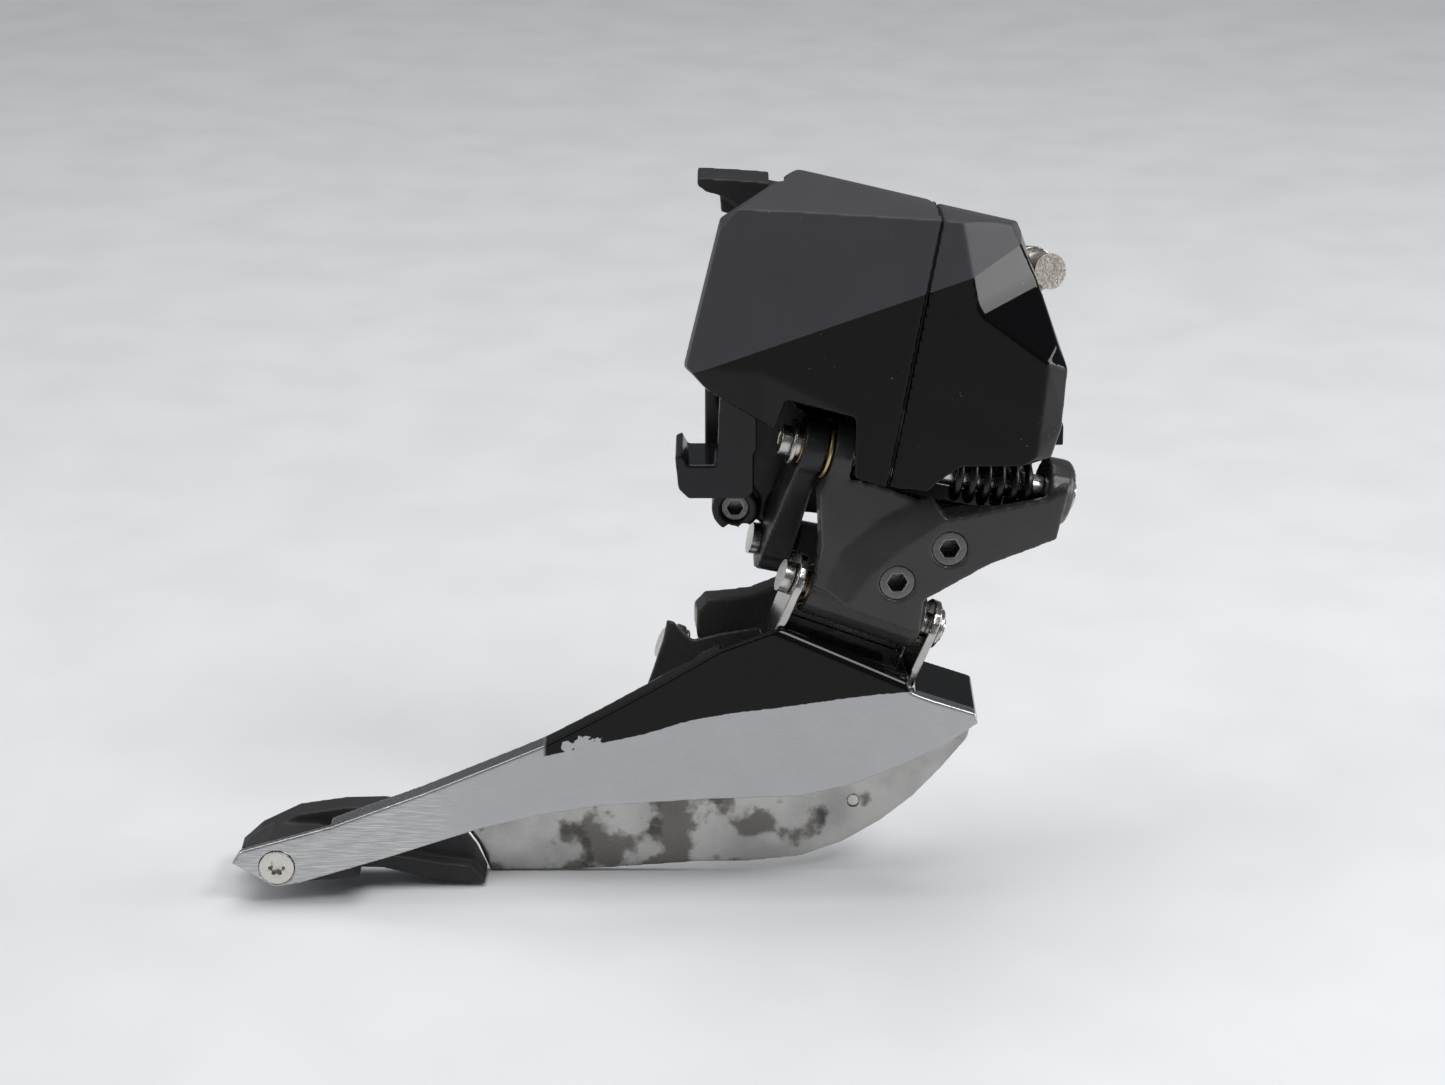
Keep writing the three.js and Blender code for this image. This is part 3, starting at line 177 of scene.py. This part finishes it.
# ---------- shader building blocks ----------
class Look:
    """A material around one principled shader, with object coordinates in millimetres."""

    def __init__(self, name, colour, roughness, metallic=0.0, **constants):
        self.material = bpy.data.materials.new(name)
        self.material.use_nodes = True
        self.tree = self.material.node_tree
        self.shader = self.tree.nodes["Principled BSDF"]
        self.set("Base Color", (*colour, 1))
        self.set("Roughness", roughness)
        self.set("Metallic", metallic)
        for socket, value in constants.items():
            self.set(socket.replace("_", " "), value)
        place = self.tree.nodes.new("ShaderNodeTexCoord")
        scale = self.tree.nodes.new("ShaderNodeMapping")
        scale.inputs["Scale"].default_value = (1 / MM, 1 / MM, 1 / MM)
        self.tree.links.new(place.outputs["Object"], scale.inputs["Vector"])
        self.millimetres = scale.outputs["Vector"]
        self.bumps = None

    def feed(self, socket, value):
        """Links a socket to another node's output, or gives it a plain value."""
        if hasattr(value, "is_linked"):
            self.tree.links.new(value, socket)
        else:
            socket.default_value = value

    def set(self, socket, value):
        self.feed(self.shader.inputs[socket], value)

    def add(self, kind, output, **inputs):
        """A new node's output; the inputs are values or other nodes' outputs."""
        made = self.tree.nodes.new(kind)
        for name, value in inputs.items():
            self.feed(made.inputs[name], value)
        return made.outputs[output]

    def stretched(self, x, y, z, turn=(0, 0, 0)):
        """The coordinates, scaled and turned."""
        made = self.tree.nodes.new("ShaderNodeMapping")
        made.inputs["Scale"].default_value = (x, y, z)
        made.inputs["Rotation"].default_value = turn
        self.tree.links.new(self.millimetres, made.inputs["Vector"])
        return made.outputs["Vector"]

    def noise(self, per_mm, detail=3.0, vector=None):
        vector = vector or self.millimetres
        return self.add("ShaderNodeTexNoise", 0, Vector=vector, Scale=per_mm, Detail=detail)

    def math(self, operation, a, b=0.0, clamp=False):
        made = self.tree.nodes.new("ShaderNodeMath")
        made.operation = operation
        made.use_clamp = clamp
        for socket, value in zip(made.inputs, (a, b)):
            self.feed(socket, value)
        return made.outputs[0]

    def ramp(self, value, low, high, to_low=0.0, to_high=1.0, kind="SMOOTHSTEP"):
        """Runs from to_low to to_high as the value goes from low to high."""
        made = self.tree.nodes.new("ShaderNodeMapRange")
        made.interpolation_type = kind
        self.tree.links.new(value, made.inputs["Value"])
        limits = {"From Min": low, "From Max": high, "To Min": to_low, "To Max": to_high}
        for socket, number in limits.items():
            made.inputs[socket].default_value = number
        return made.outputs["Result"]

    def blend(self, factor, a, b):
        """A mix of two numbers."""
        made = self.tree.nodes.new("ShaderNodeMix")
        for socket, value in zip((0, 2, 3), (factor, a, b)):
            self.feed(made.inputs[socket], value)
        return made.outputs[0]

    def mix(self, factor, a, b):
        """A mix of two colours."""
        made = self.tree.nodes.new("ShaderNodeMix")
        made.data_type = "RGBA"
        self.tree.links.new(factor, made.inputs["Factor"])
        for socket, value in zip((6, 7), (a, b)):
            colour = value if hasattr(value, "is_linked") else (*value, 1)
            self.feed(made.inputs[socket], colour)
        return made.outputs[2]

    def distance(self, place):
        """How far a place, in millimetres in the part's frame, is."""
        made = self.tree.nodes.new("ShaderNodeVectorMath")
        made.operation = "DISTANCE"
        self.tree.links.new(self.millimetres, made.inputs[0])
        made.inputs[1].default_value = place
        return made.outputs["Value"]

    def axis(self, name):
        return self.add("ShaderNodeSeparateXYZ", name, Vector=self.millimetres)

    def along(self, axis, start, end, kind="SMOOTHSTEP"):
        """Runs from 0 at one place along an axis to 1 at another, both from the working point."""
        origin = SEAT["XYZ".index(axis)]
        return self.ramp(self.axis(axis), start - origin, end - origin, kind=kind)

    def normal_axis(self, name):
        normal = self.add("ShaderNodeNewGeometry", "Normal")
        return self.add("ShaderNodeSeparateXYZ", name, Vector=normal)

    def edges(self, radius_mm):
        """1 on convex and concave edges, 0 on open faces."""
        least, full = 0.02, 0.12
        rounded = self.tree.nodes.new("ShaderNodeBevel")
        rounded.samples = 4
        rounded.inputs["Radius"].default_value = radius_mm * MM
        normal = self.add("ShaderNodeNewGeometry", "Normal")
        alike = self.tree.nodes.new("ShaderNodeVectorMath")
        alike.operation = "DOT_PRODUCT"
        self.tree.links.new(rounded.outputs[0], alike.inputs[0])
        self.tree.links.new(normal, alike.inputs[1])
        return self.ramp(self.math("SUBTRACT", 1.0, alike.outputs["Value"]), least, full)

    def specks(self, per_mm, amount):
        """Small round grains, 0 to 1."""
        cells = self.add("ShaderNodeTexVoronoi", "Distance", Vector=self.millimetres, Scale=per_mm)
        grains = self.ramp(cells, 0.16, 0.08)
        picked = self.ramp(self.noise(per_mm * 0.13, 2.0), 1 - amount, 1 - amount + 0.06)
        return self.math("MULTIPLY", grains, picked)

    def bump(self, height, strength, distance_mm):
        """Adds a relief on top of those the material already has."""
        made = self.tree.nodes.new("ShaderNodeBump")
        made.inputs["Strength"].default_value = strength
        made.inputs["Distance"].default_value = distance_mm * MM
        self.tree.links.new(height, made.inputs["Height"])
        if self.bumps:
            self.tree.links.new(self.bumps, made.inputs["Normal"])
        self.bumps = made.outputs[0]
        self.set("Normal", self.bumps)


def floor_paint():
    """A pale grey studio floor."""
    look = Look("floor_paint", (0.78, 0.79, 0.80), 0.45)
    cloud = look.noise(0.01, 4.0)
    look.set("Base Color", look.mix(cloud, (0.74, 0.75, 0.77), (0.80, 0.81, 0.82)))
    look.set("Roughness", look.ramp(look.noise(0.05, 5.0), 0.3, 0.7, 0.38, 0.55))
    look.bump(look.noise(1.2, 4.0), 0.05, 0.2)
    return look.material


def two_tone_shell():
    """Satin charcoal above a slanting line, gloss black below it."""
    look = Look("two_tone_shell", (0.04, 0.04, 0.045), 0.4, Specular_IOR_Level=0.18)
    gloss_black, dust_colour = (0.0022, 0.0022, 0.0026), (0.30, 0.30, 0.30)
    line_x, line_z = FINISH_LINE
    blur = 0.06
    height = look.math("SUBTRACT", look.axis("Z"), look.math("MULTIPLY", look.axis("X"), FINISH_SLOPE))
    line = (line_z - SEAT.z) - FINISH_SLOPE * (line_x - SEAT.x)
    satin = look.ramp(height, line - blur, line + blur)
    cloud = look.noise(0.12, 3.0)
    charcoal = look.mix(cloud, (0.046, 0.046, 0.052), (0.058, 0.058, 0.065))
    worn = look.math("MULTIPLY", look.edges(0.5), look.ramp(look.noise(0.8, 4.0), 0.45, 0.7))
    charcoal = look.mix(look.math("MULTIPLY", worn, 0.6), charcoal, (0.11, 0.11, 0.12))
    colour = look.mix(satin, gloss_black, charcoal)
    dust = look.math("MULTIPLY", look.specks(1.5, 0.34), 0.5)
    look.set("Base Color", look.mix(dust, colour, dust_colour))
    smear = look.ramp(look.noise(0.35, 4.0), 0.4, 0.7, 0.03, 0.08)
    grain = look.ramp(look.noise(6.0, 2.0), 0.3, 0.7, 0.36, 0.46)
    look.set("Roughness", look.blend(satin, smear, grain))
    look.bump(look.math("MULTIPLY", look.noise(9.0, 2.0), satin), 0.12, 0.03)
    return look.material


def painted_metal(name, colour, roughness, dust=0.4, worn_colour=(0.16, 0.16, 0.165)):
    """Black coated metal or plastic: fine grain, soft wear on its edges and dust on what faces up."""
    look = Look(name, colour, roughness, Specular_IOR_Level=0.32)
    dust_colour = (0.34, 0.32, 0.29)
    half_spread = 0.05
    lighter = tuple(c * 1.35 + 0.002 for c in colour)
    base = look.mix(look.noise(0.2, 4.0), colour, lighter)
    worn = look.math("MULTIPLY", look.edges(0.35), look.ramp(look.noise(1.1, 4.0), 0.48, 0.72))
    base = look.mix(look.math("MULTIPLY", worn, 0.35), base, worn_colour)
    up = look.ramp(look.normal_axis("Z"), 0.05, 0.8, 0.25, 1.0)
    grains = look.math("MULTIPLY", look.specks(3.2, dust), up)
    look.set("Base Color", look.mix(look.math("MULTIPLY", grains, 0.55), base, dust_colour))
    smear = look.ramp(look.noise(0.5, 4.0), 0.35, 0.7, roughness - half_spread, roughness + half_spread)
    look.set("Roughness", look.math("ADD", smear, look.math("MULTIPLY", grains, 0.4), clamp=True))
    look.bump(look.noise(7.0, 3.0), 0.10, 0.03)
    look.bump(look.specks(3.2, dust), 0.3, 0.05)
    return look.material


def bright_metal(name, colour, roughness, stretch=(1, 1, 1), stain=0.0, stain_at=None, bright_edge=None):
    """Bare metal with fine tool marks and, where asked, wide dull stains or edges rubbed bright."""
    look = Look(name, colour, roughness, 1.0)
    marks = look.noise(4.0, 3.0, look.stretched(*stretch))
    darker = tuple(c * 0.7 for c in colour)
    base = look.mix(look.ramp(look.noise(0.12, 4.0), 0.35, 0.7), colour, darker)
    rough = look.ramp(marks, 0.3, 0.75, roughness * 0.75, roughness * 1.4)
    if stain:
        spread = look.noise(0.16, 6.0)
        if stain_at:
            near = look.ramp(look.distance(at(*stain_at) / MM), 24, 4, -0.08, 0.07)
            spread = look.math("ADD", spread, near)
        patches = look.ramp(spread, 0.66 - stain * 0.16, 0.72 - stain * 0.12)
        rim = look.ramp(look.noise(0.23, 5.0), 0.52, 0.62)
        grime = look.mix(rim, (0.13, 0.12, 0.105), (0.045, 0.04, 0.035))
        base = look.mix(look.math("MULTIPLY", patches, 0.85), base, grime)
        rough = look.math("ADD", rough, look.math("MULTIPLY", patches, 0.12))
    if bright_edge:
        base = look.mix(look.edges(0.25), base, bright_edge)
    look.set("Base Color", base)
    look.set("Roughness", rough)
    look.bump(marks, 0.12, 0.04)
    return look.material


def shoulder_edge(look):
    """How high the lower edge of the outer plate's paint is, as a curve along the plate."""
    start_x, end_x = SHOULDER_EDGE[0][0], SHOULDER_EDGE[-1][0]
    low_z, high_z = -32, -18
    curve = look.tree.nodes.new("ShaderNodeFloatCurve")
    look.tree.links.new(look.along("X", start_x, end_x, kind="LINEAR"), curve.inputs["Value"])
    points = curve.mapping.curves[0].points
    while len(points) < len(SHOULDER_EDGE):
        points.new(0.5, 0.5)
    for point, (x, z) in zip(points, SHOULDER_EDGE):
        point.location = ((x - start_x) / (end_x - start_x), (z - low_z) / (high_z - low_z))
    curve.mapping.update()
    rise = look.math("MULTIPLY", curve.outputs[0], high_z - low_z)
    return look.math("ADD", rise, low_z - SEAT.z)


def shoulder_paint_and_bridge_reflection(look):
    """1 where the outer plate is painted, with a few chips along the edge, and on the bridge as a painted
    reflection; 0 where bare.
    """
    wobble = look.ramp(look.noise(1.2, 4.0), 0.3, 0.7, -0.05, 0.05)
    above = look.math("SUBTRACT", look.axis("Z"), look.math("ADD", shoulder_edge(look), wobble))
    gloss_black_mask = look.math("MULTIPLY", look.ramp(above, -0.06, 0.06), look.along("X", -25.6, -24.9))
    gloss_black_mask = look.math("MULTIPLY", gloss_black_mask, look.along("X", 26.9, 26.6))
    for x, z, radius in CHIPS:
        away = look.distance(at(x, PLATE_FACE, z) / MM)
        ragged = look.math("ADD", away, look.ramp(look.noise(0.8, 3.0), 0.3, 0.7, -0.45, 0.45))
        chip = look.ramp(ragged, radius, radius - 0.15)
        gloss_black_mask = look.math("MULTIPLY", gloss_black_mask, look.math("SUBTRACT", 1.0, chip))
    # painted reflection: the bridge round the cage's front end is painted gloss black behind the plate's
    # face, for the dark reflection its steel shows
    bridge = look.math("MULTIPLY", look.along("X", 26.8, 27.1), look.along("Y", 6.0, 6.4))
    return look.math("MAXIMUM", gloss_black_mask, bridge)


def cage_blade():
    """The outer cage plate: satin metal, scuffed bare at the tail, with a gloss black shoulder and a
    gloss black painted reflection on the bridge.
    """
    look = Look("cage_blade", (0.36, 0.37, 0.39), 0.32, 1.0, Specular_IOR_Level=0.2)
    gloss_black, gloss_roughness = (0.004, 0.004, 0.004), 0.07
    # gloss black: the shoulder's real paint, and on the bridge a painted dark reflection
    gloss_black_mask = shoulder_paint_and_bridge_reflection(look)
    bare_metal_mask = look.math("SUBTRACT", 1.0, gloss_black_mask)
    scuffed = look.along("X", -36, -44)
    lengthwise = look.stretched(0.10, 1.0, 3.4, (0, math.radians(-24), 0))
    strokes = look.noise(2.6, 4.0, lengthwise)
    fine = look.noise(9.0, 2.0, lengthwise)
    satin = look.mix(look.noise(0.15, 3.0), (0.42, 0.425, 0.435), (0.48, 0.485, 0.495))
    scratched = look.mix(look.ramp(strokes, 0.36, 0.68), (0.36, 0.36, 0.37), (0.66, 0.66, 0.65))
    scratches = look.math("MULTIPLY", scuffed, look.ramp(strokes, 0.3, 0.6, 0.5, 1.0))
    bare = look.mix(scratches, satin, scratched)
    look.set("Base Color", look.mix(gloss_black_mask, bare, gloss_black))
    look.set("Metallic", bare_metal_mask)
    metal_roughness = look.ramp(fine, 0.3, 0.7, 0.27, 0.38)
    look.set("Roughness", look.blend(gloss_black_mask, metal_roughness, gloss_roughness))
    marks = look.math("ADD", fine, look.math("MULTIPLY", strokes, scuffed))
    look.bump(look.math("MULTIPLY", marks, bare_metal_mask), 0.10, 0.03)
    look.bump(gloss_black_mask, 0.35, 0.04)
    return look.material


# ---------- geometry ----------
def pivot(centre, tilt):
    """The frame of a pivot: local x runs along it."""
    turn = Matrix.Rotation(PIVOT_YAW, 4, "Z") @ Matrix.Rotation(tilt, 4, "Y")
    return Matrix.Translation(at(*centre)) @ turn


def station(x, tilt):
    """How far along a pivot the place with this x is."""
    return (x - PIVOT_X) / (math.cos(tilt) * math.cos(PIVOT_YAW))


def upper(x):
    """How far along the two upper pivots the place with this x is."""
    return station(x, UPPER_TILT)


def lower(x):
    """How far along the two lower pivots the place with this x is."""
    return station(x, LOWER_TILT)


UPPER_OUTER = pivot(UPPER_OUTER_PIVOT, UPPER_TILT)
LOWER_OUTER = pivot(LOWER_OUTER_PIVOT, LOWER_TILT)
UPPER_INNER = pivot(UPPER_INNER_PIVOT, UPPER_TILT)
LOWER_INNER = pivot(LOWER_INNER_PIVOT, LOWER_TILT)
LINK_LEVEL = pivot((PIVOT_X, UPPER_OUTER_PIVOT[1], 0), 0)
SEAT_FRAME = Matrix.Rotation(math.pi / 2 + SEAT_YAW, 4, "Z") @ Matrix.Rotation(SEAT_PITCH, 4, "Y")


def inboard(x, z):
    """A frame whose local x runs inboard, measured from the housing's outer face."""
    return Matrix.Translation(at(x, 0, z)) @ Matrix.Rotation(math.pi / 2, 4, "Z")


def adopt(piece, node, material, sharp=35):
    """Gives a piece its material and shading, and lets it stand for its CAD node."""
    piece.data.materials.clear()
    piece.data.materials.append(material)
    for face in piece.data.polygons:
        face.use_smooth = True
    piece.data.set_sharp_from_angle(angle=math.radians(sharp))
    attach(piece, nodes[node]["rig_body"])
    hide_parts(node)


def applied(mesh, name, modifiers):
    """A new object with the mesh after these modifiers."""
    rough = bpy.data.objects.new(name + "_rough", mesh)
    bpy.context.scene.collection.objects.link(rough)
    for kind, settings in modifiers:
        modifier = rough.modifiers.new(kind, kind)
        for key, value in settings.items():
            setattr(modifier, key, value)
    depsgraph = bpy.context.evaluated_depsgraph_get()
    result = bpy.data.meshes.new_from_object(rough.evaluated_get(depsgraph))
    bpy.data.objects.remove(rough)
    made = bpy.data.objects.new(name, result)
    bpy.context.scene.collection.objects.link(made)
    return made


def softened(node, material, voxel, rounds, keep):
    """A CAD solid with rounded edges and filled corners, as cast, forged or moulded pieces have."""
    piece = applied(nodes[node].data.copy(), node + "_piece", [
        ("WELD", {"merge_threshold": 1e-6}),
        ("REMESH", {"mode": "VOXEL", "voxel_size": voxel * MM, "use_smooth_shade": True}),
        ("SMOOTH", {"factor": 0.5, "iterations": rounds}),
        ("DECIMATE", {"ratio": keep}),
    ])
    adopt(piece, node, material, sharp=50)


def radius_factor(shape, angle):
    """A socket outline's radius at this angle, as a share of its corner radius."""
    if shape == "hex":
        return math.cos(math.pi / 6) / math.cos(angle % (math.pi / 3) - math.pi / 6)
    if shape == "star":
        return 0.815 + 0.185 * math.cos(6 * angle)
    return 1.0


def eased(profile, ease, closed):
    """Rounds the corners of a profile of (x, radius, shape) points."""
    steps = 3
    points = []
    count = len(profile)
    for i, (x, radius, shape) in enumerate(profile):
        if not closed and i in (0, count - 1):
            points.append((x, radius, shape))
            continue
        here = Vector((x, radius))
        before = Vector(profile[i - 1][:2])
        after = Vector(profile[(i + 1) % count][:2])
        to_before, to_after = before - here, after - here
        start = here + to_before.normalized() * min(ease, to_before.length * 0.45)
        end = here + to_after.normalized() * min(ease, to_after.length * 0.45)
        for step in range(steps + 1):
            t = step / steps
            point = start * (1 - t) ** 2 + here * 2 * t * (1 - t) + end * t * t
            points.append((point.x, point.y, shape))
    return points


def meshed(node, points, faces):
    """A new object, to stand for this node, with these points and faces."""
    mesh = bpy.data.meshes.new(node + "_piece")
    mesh.from_pydata(points, [], faces)
    piece = bpy.data.objects.new(node + "_piece", mesh)
    bpy.context.scene.collection.objects.link(piece)
    return piece


def spun(node, place, profile, material, closed=False, ease=0.15):
    """A turned piece about local x. Each profile point is (x, radius) or (x, radius, socket shape)."""
    sides = 48
    profile = [(*point, "round")[:3] for point in profile]
    rings = eased(profile, ease, closed)
    points, faces = [], []
    for x, radius, shape in rings:
        for k in range(sides):
            angle = 2 * math.pi * k / sides
            r = radius * radius_factor(shape, angle)
            points.append(place @ (Vector((x, r * math.cos(angle), r * math.sin(angle))) * MM))
    last = len(rings) if closed else len(rings) - 1
    for i in range(last):
        a, b = i * sides, (i + 1) % len(rings) * sides
        for k in range(sides):
            n = (k + 1) % sides
            faces.append((a + k, b + k, b + n, a + n))
    if not closed:
        faces.append(tuple(range(sides)))
        faces.append(tuple((len(rings) - 1) * sides + k for k in reversed(range(sides))))
    adopt(meshed(node, points, faces), node, material)


def ring(node, place, outer, inner, start, end, material):
    """A washer or bushing."""
    profile = [(start, inner), (start, outer), (end, outer), (end, inner)]
    spun(node, place, profile, material, closed=True, ease=0.12)


# ---------- materials ----------
shell = two_tone_shell()
frame_black = painted_metal("frame_black", (0.012, 0.012, 0.013), 0.38)
link_black = painted_metal("link_black", (0.034, 0.033, 0.032), 0.27)
tray_black = painted_metal("tray_black", (0.006, 0.006, 0.007), 0.13)
latch_black = painted_metal("latch_black", (0.016, 0.016, 0.017), 0.48)
tail_black = painted_metal("tail_black", (0.022, 0.022, 0.023), 0.55)
screw_black = bright_metal("screw_black", (0.16, 0.155, 0.15), 0.34, bright_edge=(0.55, 0.54, 0.51))
spring_black = bright_metal("spring_black", (0.05, 0.05, 0.05), 0.34)
blade = cage_blade()
steel = bright_metal("polished_steel", (0.62, 0.60, 0.57), 0.18, stain=0.3)
stained = bright_metal("stained_steel", (0.50, 0.49, 0.475), 0.20, (0.5, 1, 1), stain=1.0,
                       stain_at=STAIN_CENTRE)
pin_steel = bright_metal("pin_steel", (0.66, 0.64, 0.60), 0.26)
dull_end = bright_metal("bolt_end_steel", (0.78, 0.72, 0.65), 0.38, bright_edge=(0.9, 0.88, 0.84))
bronze = bright_metal("bearing_bronze", (0.42, 0.29, 0.16), 0.32, stain=0.4)
brass = bright_metal("brass", (0.62, 0.47, 0.24), 0.30)
rubber = painted_metal("rubber", (0.006, 0.006, 0.006), 0.75, dust=0.0, worn_colour=(0.012, 0.012, 0.012))
board = painted_metal("board_green", (0.02, 0.09, 0.035), 0.4)
gold = bright_metal("gold", (0.75, 0.52, 0.20), 0.25)


# ---------- pieces ----------
def build_castings():
    """Cast, forged, moulded and bent pieces, as node, look, voxel, rounds and share of faces kept."""
    softened("housing_rear", shell, 0.3, 8, 0.3)
    softened("housing_front", shell, 0.3, 8, 0.3)
    softened("base_frame", frame_black, 0.33, 5, 0.3)
    softened("battery_tray", tray_black, 0.25, 6, 0.3)
    softened("battery_latch", latch_black, 0.2, 5, 0.35)
    softened("outer_link", link_black, 0.28, 8, 0.3)
    softened("inner_link", link_black, 0.3, 5, 0.3)
    softened("outer_plate", blade, 0.25, 5, 0.3)
    softened("inner_plate", stained, 0.25, 4, 0.3)
    softened("ear_bracket", steel, 0.16, 4, 0.35)
    softened("inner_bracket", link_black, 0.25, 5, 0.3)
    softened("tail_block", tail_black, 0.25, 5, 0.3)
    softened("curved_washer", pin_steel, 0.16, 3, 0.4)
    softened("function_button", rubber, 0.12, 3, 0.4)
    softened("contact_block", latch_black, 0.2, 3, 0.3)


def build_output_shaft():
    """The shaft that turns the outer link, with its end screw, washers and bushing."""
    thread = 1.02
    spun("output_shaft", UPPER_OUTER, [
        (upper(13.5), thread), (upper(9.9), thread), (upper(9.9), SHAFT_RADIUS),
        (upper(49.2), SHAFT_RADIUS), (upper(49.2), 0.5),
    ], pin_steel)
    spun("shaft_end_screw", UPPER_OUTER, [
        (upper(8.7), 1, "hex"), (upper(7.9), 1, "hex"), (upper(7.9), 2.1),
        (upper(9.3), 2.1), (upper(9.3), 1), (upper(13), 1),
    ], pin_steel)
    ring("shaft_end_washer", UPPER_OUTER, 3.2, 1.1, upper(9.35), upper(9.85), pin_steel)
    ring("thrust_washer", UPPER_OUTER, 4.3, 2.15, upper(14.1), upper(14.5), brass)
    bore = SHAFT_RADIUS + BUSHING_GAP
    ring("rear_bushing", UPPER_OUTER, 2.88, bore, upper(10.6), upper(13.95), bronze)


def headed_pin(node, place, face, shoulder, tip, head_radius=PIN_HEAD_RADIUS):
    """A linkage pin with a flat head."""
    profile = [(face, head_radius), (shoulder, head_radius), (shoulder, PIN_RADIUS), (tip, PIN_RADIUS)]
    spun(node, place, profile, pin_steel)


def build_pins():
    """The linkage's pins with their bushings, clip and washer."""
    bore = PIN_RADIUS + BUSHING_GAP
    washer_bore = PIN_RADIUS + 0.02
    ring("link_bushing_rear", LOWER_OUTER, 2.68, bore, lower(11.6), lower(16), bronze)
    ring("link_bushing_front", LOWER_OUTER, 2.68, bore, lower(23.4), lower(27.8), bronze)
    headed_pin("lower_outer_pin", LOWER_OUTER, lower(8.2), lower(9.5), lower(31))
    ring("lower_outer_clip", LOWER_OUTER, 2.9, washer_bore, lower(30), lower(30.5), pin_steel)
    headed_pin("upper_inner_pin", UPPER_INNER, upper(3.9), upper(5.2), upper(29))
    headed_pin("lower_inner_pin", LOWER_INNER, lower(-9), lower(-7.6), lower(25.6), head_radius=2.2)
    ring("lower_inner_washer", LOWER_INNER, 3, washer_bore, lower(-6.2), lower(-5.8), pin_steel)


def set_screw(node, place, floor, mouth, tip, socket_radius, radius):
    """A headless screw, with a hex socket from its mouth to the socket's floor."""
    spun(node, place, [
        (floor, socket_radius, "hex"), (mouth, socket_radius, "hex"), (mouth, radius), (tip, radius),
    ], screw_black)


def build_screws():
    for node, (x, z) in LIMIT_SCREWS.items():
        offset = Vector(((x - PIVOT_X) / math.cos(PIVOT_YAW), 0, z)) * MM
        place = LINK_LEVEL @ Matrix.Translation(offset) @ Matrix.Rotation(math.pi / 2, 4, "Z")
        set_screw(node, place, -3, -5.7, 1, 1.44, 2.48)
    spun("tail_screw", inboard(*TAIL_SCREW), [
        (5.2, 1.25, "star"), (4.3, 1.25, "star"), (4.3, 2.5), (5.55, 2.5), (5.55, 1.5), (15, 1.5),
    ], pin_steel, ease=0.1)
    spun("mount_bolt", SEAT_FRAME, [
        (-11, 2.5), (5.7, 2.5), (5.7, 3.8), (7.7, 3.8), (8.1, 3.4), (8.1, 2, "hex"), (6.4, 2, "hex"),
    ], dull_end, ease=0.3)
    ring("mount_insert", SEAT_FRAME, 3.3, 2.52, -6.5, -0.4, pin_steel)
    spun("latch_pin", inboard(*LATCH_PIVOT), [(14.6, 1), (26.6, 1)], pin_steel)
    set_screw("support_screw", inboard(*SUPPORT_SCREW), 23.6, 21.4, 29.5, 1.15, 1.98)
    for screws, tip in ((HOUSING_SCREWS, 22.6), (TRAY_SCREWS, 18.5)):
        for node, (x, z) in screws.items():
            spun(node, inboard(x, z), [
                (tip, 1), (25.25, 1), (25.25, 1.85), (26.6, 1.85), (26.6, 0.8, "hex"), (25.8, 0.8, "hex"),
            ], screw_black)


def rivet(node, place, tip, shoulder, face, shank_radius, head_radius, ease):
    spun(node, place, [
        (tip, shank_radius), (shoulder, shank_radius), (shoulder, head_radius), (face, head_radius),
    ], pin_steel, ease=ease)


def build_rivets():
    for number, x in enumerate(EAR_RIVETS, 1):
        stand = Matrix.Translation(Vector((x, -1, 0)) * MM) @ Matrix.Rotation(-math.pi / 2, 4, "Y")
        rivet(f"ear_rivet_{number}", LOWER_OUTER @ stand, -6.9, -8.65, -9.15, 1, 1.7, ease=0.15)
    for number, (x, z) in enumerate(BRACKET_RIVETS, 1):
        rivet(f"bracket_rivet_{number}", inboard(x, z), 16.5, 19.05, 19.7, 0.8, 1.7, ease=0.3)
    for number, (x, z) in enumerate(BRIDGE_RIVETS, 1):
        rivet(f"bridge_rivet_{number}", inboard(x, z), 16.5, 19.25, 19.8, 0.8, 1.5, ease=0.3)


def build_spring():
    """A coil of round wire with closed ends."""
    coils, wire_radius, coil_radius = 6, 0.6, 3.3
    start, end = upper(31.6), upper(43.2)
    steps, sides = coils * 36, 14
    points, faces = [], []
    for i in range(steps + 1):
        angle = 2 * math.pi * coils * i / steps
        along = start + (end - start) * i / steps
        outward = Vector((0, math.cos(angle), math.sin(angle)))
        for k in range(sides):
            turn = 2 * math.pi * k / sides
            point = Vector((along, 0, 0)) + outward * (coil_radius + wire_radius * math.cos(turn))
            point.x += wire_radius * math.sin(turn)
            points.append(UPPER_OUTER @ (point * MM))
    for i in range(steps):
        for k in range(sides):
            n = (k + 1) % sides
            faces.append((i * sides + k, i * sides + n, (i + 1) * sides + n, (i + 1) * sides + k))
    faces.append(tuple(reversed(range(sides))))
    faces.append(tuple(steps * sides + k for k in range(sides)))
    adopt(meshed("torsion_spring", points, faces), "torsion_spring", spring_black)


def finish_hidden_pieces():
    """CAD pieces inside the housing keep their shape and only get a material."""
    looks = {"housing_gasket": rubber, "circuit_board": board, "motor": pin_steel,
             "contact_pin_1": gold, "contact_pin_2": gold, "contact_pin_3": gold,
             "gear_bushing_rear": bronze, "gear_bushing_front": bronze, "sector_gear": brass,
             "compound_gear_2": brass, "compound_gear_1": brass, "motor_pinion": brass}
    # but the gasket is squeezed against both sides of its groove
    squeezed = nodes["housing_gasket"].modifiers.new("squeezed", "DISPLACE")
    squeezed.strength = 0.07 * MM
    squeezed.mid_level = 0
    for node, material in looks.items():
        nodes[node].data.materials.clear()
        nodes[node].data.materials.append(material)


add_camera()
add_studio()
build_castings()
build_output_shaft()
build_pins()
build_screws()
build_rivets()
build_spring()
finish_hidden_pieces()
